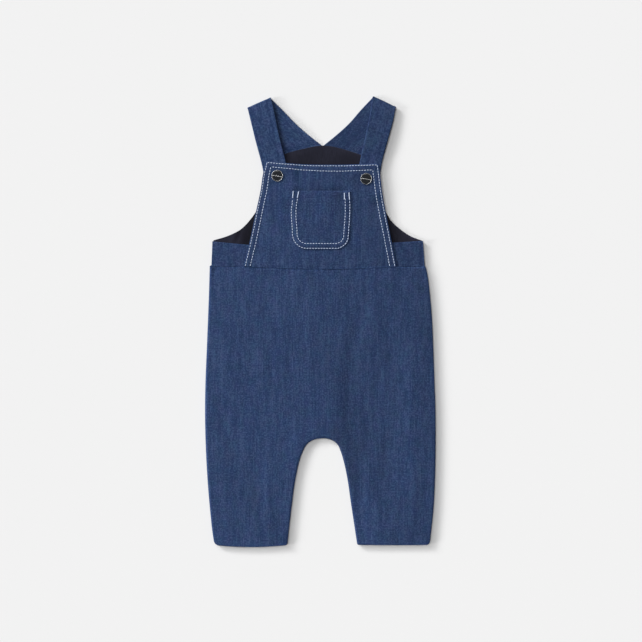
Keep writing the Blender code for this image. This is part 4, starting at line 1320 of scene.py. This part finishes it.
class Nodes:
    """Short calls for the few kinds of node that the materials use."""

    def __init__(self, tree):
        self.tree = tree

    def put(self, socket, value):
        """Links an output to a socket, or sets its value; a colour gets its alpha."""
        if isinstance(value, bpy.types.NodeSocket):
            self.tree.links.new(value, socket)
        else:
            socket.default_value = (*value, 1.0) if socket.type == "RGBA" else value

    def add(self, kind, values=(), **settings):
        """A node of this kind, with values for its inputs by name or number."""
        node = self.tree.nodes.new("ShaderNode" + kind)
        for key, value in settings.items():
            setattr(node, key, value)
        for key, value in dict(values).items():
            self.put(node.inputs[key], value)
        return node

    def attribute(self, name, output="Fac"):
        return self.add("Attribute", attribute_name=name).outputs[output]

    def vector(self, operation, first, second):
        key = "Scale" if operation == "SCALE" else 1
        return self.add("VectorMath", {0: first, key: second}, operation=operation).outputs[0]

    def millimetres(self):
        place = self.add("TexCoord").outputs["Object"]
        return self.vector("MULTIPLY", place, (1 / MM, 1 / MM, 1 / MM))

    def noise(self, vector, size_x, size_y, detail=2.0, roughness=0.5):
        """Noise between 0 and 1, with lumps of these sizes in the vector's units."""
        scaled = self.vector("MULTIPLY", vector, (1 / size_x, 1 / size_y, 0.37))
        values = {"Vector": scaled, "Scale": 1.0, "Detail": detail, "Roughness": roughness}
        return self.add("TexNoise", values).outputs["Fac"]

    def math(self, operation, *values):
        return self.add("Math", enumerate(values), operation=operation).outputs[0]

    def weighted(self, *terms):
        """A half plus each (output, weight), with the outputs centred on a half."""
        total = 0.5
        for output, weight in terms:
            part = self.math("MULTIPLY", self.math("SUBTRACT", output, 0.5), weight)
            total = self.math("ADD", part, total)
        return total

    def ramp(self, factor, *stops):
        node = self.add("ValToRGB", {"Fac": factor})
        elements = node.color_ramp.elements
        while len(elements) < len(stops):
            elements.new(0.5)
        for element, (position, colour) in zip(elements, stops):
            element.position = position
            element.color = (*colour, 1.0)
        return node.outputs["Color"]

    def mix(self, factor, first, second, blend="MIX"):
        values = {"Factor_Float": factor, "A_Color": first, "B_Color": second}
        node = self.add("Mix", data_type="RGBA", blend_type=blend)
        for socket in node.inputs:
            if socket.identifier in values:
                self.put(socket, values[socket.identifier])
        return next(socket for socket in node.outputs if socket.identifier == "Result_Color")

    def bump(self, height, strength, distance):
        values = {"Strength": strength, "Distance": distance, "Height": height}
        return self.add("Bump", values).outputs["Normal"]


def new_material(name, finish):
    """A material whose shader takes the values that finish gives for its nodes."""
    material = bpy.data.materials.new(name)
    material.use_nodes = True
    nodes = Nodes(material.node_tree)
    shader = material.node_tree.nodes["Principled BSDF"]
    for key, value in finish(nodes).items():
        nodes.put(shader.inputs[key], value)
    return material


def twill(nodes, grain, pitch, slope):
    """The fine diagonal ribs of the weave, between 0 and 1."""
    parts = nodes.add("SeparateXYZ", {0: grain})
    across = nodes.math("MULTIPLY", parts.outputs[0], 2 * math.pi / pitch)
    along = nodes.math("MULTIPLY", parts.outputs[1], 2 * math.pi / pitch * slope)
    wave = nodes.math("SINE", nodes.math("ADD", across, along))
    return nodes.math("ADD", nodes.math("MULTIPLY", wave, 0.5), 0.5)


def cast(nodes, grain, offset, first, second):
    """A tint that wanders between two colours over the cloth."""
    moved = nodes.vector("ADD", grain, offset)
    return nodes.ramp(nodes.noise(moved, 9.0, 13.0, 2.0, 0.6), (0.2, first), (0.8, second))


def denim_finish(nodes):
    grain = nodes.attribute("grain", "Vector")
    slubs = nodes.noise(grain, 1.5, 26.0, 3.0, 0.6)
    bands = nodes.noise(grain, 6.5, 80.0)
    clouds = nodes.noise(grain, 34.0, 60.0)
    weft = nodes.noise(grain, 22.0, 1.1, 2.0, 0.6)
    fleck = nodes.noise(grain, 1.65, 1.75, 3.0, 0.6)
    blots = nodes.noise(grain, 4.0, 6.0)
    ribs = twill(nodes, grain, 1.1, 0.55)
    long_marks = ((slubs, 2.0), (bands, 0.9), (clouds, 0.5), (weft, 0.8))
    shade = nodes.weighted(*long_marks, (blots, 0.8), (fleck, 4.2), (ribs, 0.08))
    dark, middle, light = (0.0126, 0.0273, 0.0820), (0.0211, 0.0412, 0.1069), (0.0371, 0.0665, 0.1473)
    colour = nodes.ramp(shade, (0.0, dark), (0.5, middle), (1.0, light))
    red_cast = cast(nodes, grain, (300.0, 500.0, 0.0), (1.23, 1.0, 1.05), (0.77, 1.0, 0.95))
    blue_cast = cast(nodes, grain, (700.0, 200.0, 0.0), (1.0, 1.0, 1.075), (1.0, 1.0, 0.925))
    colour = nodes.mix(1.0, nodes.mix(1.0, colour, red_cast, "MULTIPLY"), blue_cast, "MULTIPLY")
    # A paler blue by the wear and painted light attribute: worn edges, with painted light on the
    # right-facing edges and along the left side seam
    colour = nodes.mix(nodes.math("MULTIPLY", nodes.attribute("wear"), 0.3), colour, (0.03, 0.075, 0.22))
    weave = nodes.weighted((slubs, 0.5), (weft, 0.35), (fleck, 0.5), (ribs, 0.55))
    # The tone attribute holds each piece's tone with its painted light and shade
    return {
        "Base Color": nodes.vector("SCALE", colour, nodes.attribute("tone_and_painted_light")),
        "Roughness": nodes.math("MULTIPLY_ADD", fleck, 0.12, 0.78),
        "Normal": nodes.bump(weave, 0.55, 0.00022),
        "Specular IOR Level": 0.12,
        "Sheen Weight": 0.08,
        "Sheen Roughness": 0.5,
        "Sheen Tint": (0.62, 0.74, 1.0),
    }


def jersey_finish(nodes):
    grain = nodes.attribute("grain", "Vector")
    wales = nodes.noise(grain, 0.9, 9.0)
    fuzz = nodes.noise(grain, 0.8, 0.8, 3.0, 0.7)
    shade = nodes.weighted((wales, 0.9), (fuzz, 0.8), (nodes.noise(grain, 24.0, 24.0), 0.6))
    dark, middle, light = (0.0065, 0.0066, 0.0125), (0.0112, 0.0114, 0.0205), (0.019, 0.0192, 0.033)
    colour = nodes.ramp(shade, (0.0, dark), (0.5, middle), (1.0, light))
    # The tone attribute holds the lining's tone with its painted shade beside the bib
    return {
        "Base Color": nodes.vector("SCALE", colour, nodes.attribute("tone_and_painted_light")),
        "Normal": nodes.bump(nodes.weighted((wales, 1.0), (fuzz, 0.6)), 0.5, 0.0002),
        "Roughness": 0.92,
        "Specular IOR Level": 0.1,
        "Sheen Weight": 0.1,
    }


def thread_finish(nodes):
    place = nodes.millimetres()
    fibres = nodes.noise(place, 0.25, 0.25, 2.0, 0.6)
    shade = nodes.weighted((fibres, 0.7), (nodes.noise(place, 5.0, 5.0, 1.0), 0.6))
    dark, middle, light = (0.39, 0.475, 0.65), (0.55, 0.64, 0.81), (0.67, 0.755, 0.9)
    return {
        "Base Color": nodes.ramp(shade, (0.0, dark), (0.5, middle), (1.0, light)),
        "Normal": nodes.bump(fibres, 0.4, 0.0001),
        "Roughness": 0.7,
        "Sheen Weight": 0.1,
    }


def silver_finish(nodes):
    scuffs = nodes.noise(nodes.millimetres(), 5.0, 3.0, 1.0)
    return {
        "Base Color": nodes.ramp(scuffs, (0.0, (0.33, 0.34, 0.345)), (1.0, (0.5, 0.51, 0.515))),
        "Roughness": nodes.math("MULTIPLY_ADD", scuffs, 0.1, 0.28),
        "Metallic": 1.0,
    }


def enamel_finish(nodes):
    haze = nodes.noise(nodes.millimetres(), 2.0, 2.0, 3.0, 0.6)
    return {
        "Base Color": nodes.ramp(haze, (0.0, (0.006, 0.007, 0.009)), (1.0, (0.02, 0.022, 0.027))),
        "Roughness": nodes.math("MULTIPLY_ADD", haze, 0.06, 0.08),
    }


def floor_finish(nodes):
    cloud = nodes.noise(nodes.add("TexCoord").outputs["Object"], 0.6, 0.6)
    return {
        "Base Color": nodes.ramp(cloud, (0.0, (0.795, 0.795, 0.795)), (1.0, (0.805, 0.805, 0.805))),
        "Roughness": 0.95,
        "Specular IOR Level": 0.0,
    }


# The whole garment

# Each sheet of cloth: its piece, the flat width and length and the area of its cut in metres, how it
# is held, and the nodes that it lies on
BELOW_BIB = ("strap_left", "strap_right", "side_band_left", "side_band_right", "back_lining")
Sheet = namedtuple("Sheet", "piece flat area held on")
SHEETS = {
    "back_trousers": Sheet("trouser_back_cloth", (0.266, 0.322), 0.0757, "laid", ()),
    "front_trousers": Sheet("trouser_front_cloth", (0.266, 0.322), 0.0763, "laid", ("back_trousers",)),
    "back_bodice": Sheet("bodice_back_cloth", (0.25, 0.139), 0.0224, "laid", ()),
    "back_lining": Sheet("bodice_lining_cloth", (0.25, 0.139), 0.0225, "laid", ("back_bodice",)),
    "side_band_left": Sheet("band_cloth_left", (0.058, 0.031), 0.0016, "laid", ("back_lining",)),
    "side_band_right": Sheet("band_cloth_right", (0.058, 0.031), 0.0016, "laid", ("back_lining",)),
    "strap_left": Sheet("strap_cloth_left", (0.053, 0.19), 0.0056, "folded", ("back_lining",)),
    "strap_right": Sheet("strap_cloth_right", (0.053, 0.19), 0.0056, "folded", ("back_lining",)),
    "bib": Sheet("bib_cloth", (0.176, 0.124), 0.0186, "laid", BELOW_BIB),
    "pocket": Sheet("pocket_cloth", (0.07, 0.068), 0.0047, "laid", ("bib",)),
}


def belongs(piece, nodes, slot):
    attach(piece, "root")
    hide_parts(*nodes)


def make_shells():
    """The shells of every sheet, under its node."""
    parts = {
        "back_trousers": trouser_parts(BACK_GRID, straight_waist),
        "front_trousers": trouser_parts(FRONT_GRID, tucked_waist),
        "back_bodice": whole_piece(back_place(BACK_INSET), GRIDS["back_bodice"]),
        "back_lining": whole_piece(back_place(0.0, LINING_OVER_STRAP), GRIDS["back_lining"]),
        "bib": whole_piece(bib_place, GRIDS["bib"]),
        "pocket": whole_piece(pocket_place, GRIDS["pocket"]),
    }
    for side in SIDES:
        parts["side_band_" + side] = whole_piece(band_place(side), GRIDS["side_band"])
    shells = {node: flat_shells(node, pieces) for node, pieces in parts.items()}
    return {**shells, **{"strap_" + side: strap_shells(side) for side in SIDES}}


def make_cloth(denim, jersey):
    shells, pieces = make_shells(), {}
    for node, sheet in SHEETS.items():
        material, slot = (jersey, "lining") if node == "back_lining" else (denim, "denim")
        pieces[node] = cloth_object(sheet.piece, shells[node], material)
        belongs(pieces[node], (node,), slot)
        below = tuple(pieces[other] for other in sheet.on)


def make_stitches(thread):
    def bib_top(x, y):
        return bib_height(x, y) + DENIM / 2 + bib_face(x, y)

    def pocket_top(x, y):
        return pocket_height(x, y) + DENIM / 2 + pocket_face(x, y)

    bib_paths = [path for row in BIB_ROWS for path in bib_row(row)]
    belongs(stitch_rows("bib_stitches", bib_paths, bib_top, thread, 5), (), "denim")
    pocket_paths = [path[path[:, 1] < TACK_BOTTOM_Y] for path in map(pocket_row, POCKET_ROWS)]
    belongs(stitch_rows("pocket_stitches", pocket_paths, pocket_top, thread, 6), (), "denim")
    belongs(bar_tacks("pocket_bar_tacks", pocket_top, thread), (), "denim")


def make_floor():
    corners = [(-FLOOR_REACH, -FLOOR_REACH, 0.0), (FLOOR_REACH, -FLOOR_REACH, 0.0)]
    corners += [(FLOOR_REACH, FLOOR_REACH, 0.0), (-FLOOR_REACH, FLOOR_REACH, 0.0)]
    mesh_object("floor", corners, [(0, 1, 2, 3)], new_material("Pale floor", floor_finish))


def make_light():
    for index, lamp in enumerate(LAMPS):
        data = bpy.data.lights.new("studio_%d" % index, "SUN")
        elevation, azimuth = math.radians(lamp.elevation), math.radians(lamp.azimuth)
        data.energy = math.pi * FLOOR_LIGHT * lamp.share / math.sin(elevation)
        data.angle = math.radians(lamp.size)
        level = math.cos(elevation)
        to_lamp = Vector((level * math.cos(azimuth), level * math.sin(azimuth), math.sin(elevation)))
        add_object(data.name, data).rotation_euler = to_lamp.to_track_quat("Z", "Y").to_euler()
    world = bpy.data.worlds.new("studio")
    world.use_nodes = True
    background = world.node_tree.nodes["Background"]
    background.inputs["Color"].default_value = (1.0, 1.0, 1.0, 1.0)
    background.inputs["Strength"].default_value = FLOOR_LIGHT * AMBIENT_SHARE
    bpy.context.scene.world = world


def make_camera():
    """Straight above, far enough away for a nearly parallel view."""
    data = bpy.data.cameras.new("camera")
    data.lens = 100.0
    data.sensor_width = 36.0
    data.clip_start = 0.05
    data.clip_end = 100.0
    camera = add_object("camera", data)
    camera.location = (VIEW_X * MM, VIEW_Y * MM, PHOTO_PIXELS * PIXEL * MM * data.lens / data.sensor_width)
    bpy.context.scene.camera = camera


def main():
    denim = new_material("Indigo denim", denim_finish)
    jersey = new_material("Dark jersey", jersey_finish)
    thread = new_material("Pale topstitch thread", thread_finish)
    make_camera()
    make_light()
    make_floor()
    make_cloth(denim, jersey)
    make_stitches(thread)
    silver = new_material("Silver snap metal", silver_finish)
    enamel = new_material("Black snap enamel", enamel_finish)
    for side in SIDES:
        make_snap(side, silver, enamel)
    bpy.context.scene.view_settings.view_transform = "Standard"


main()
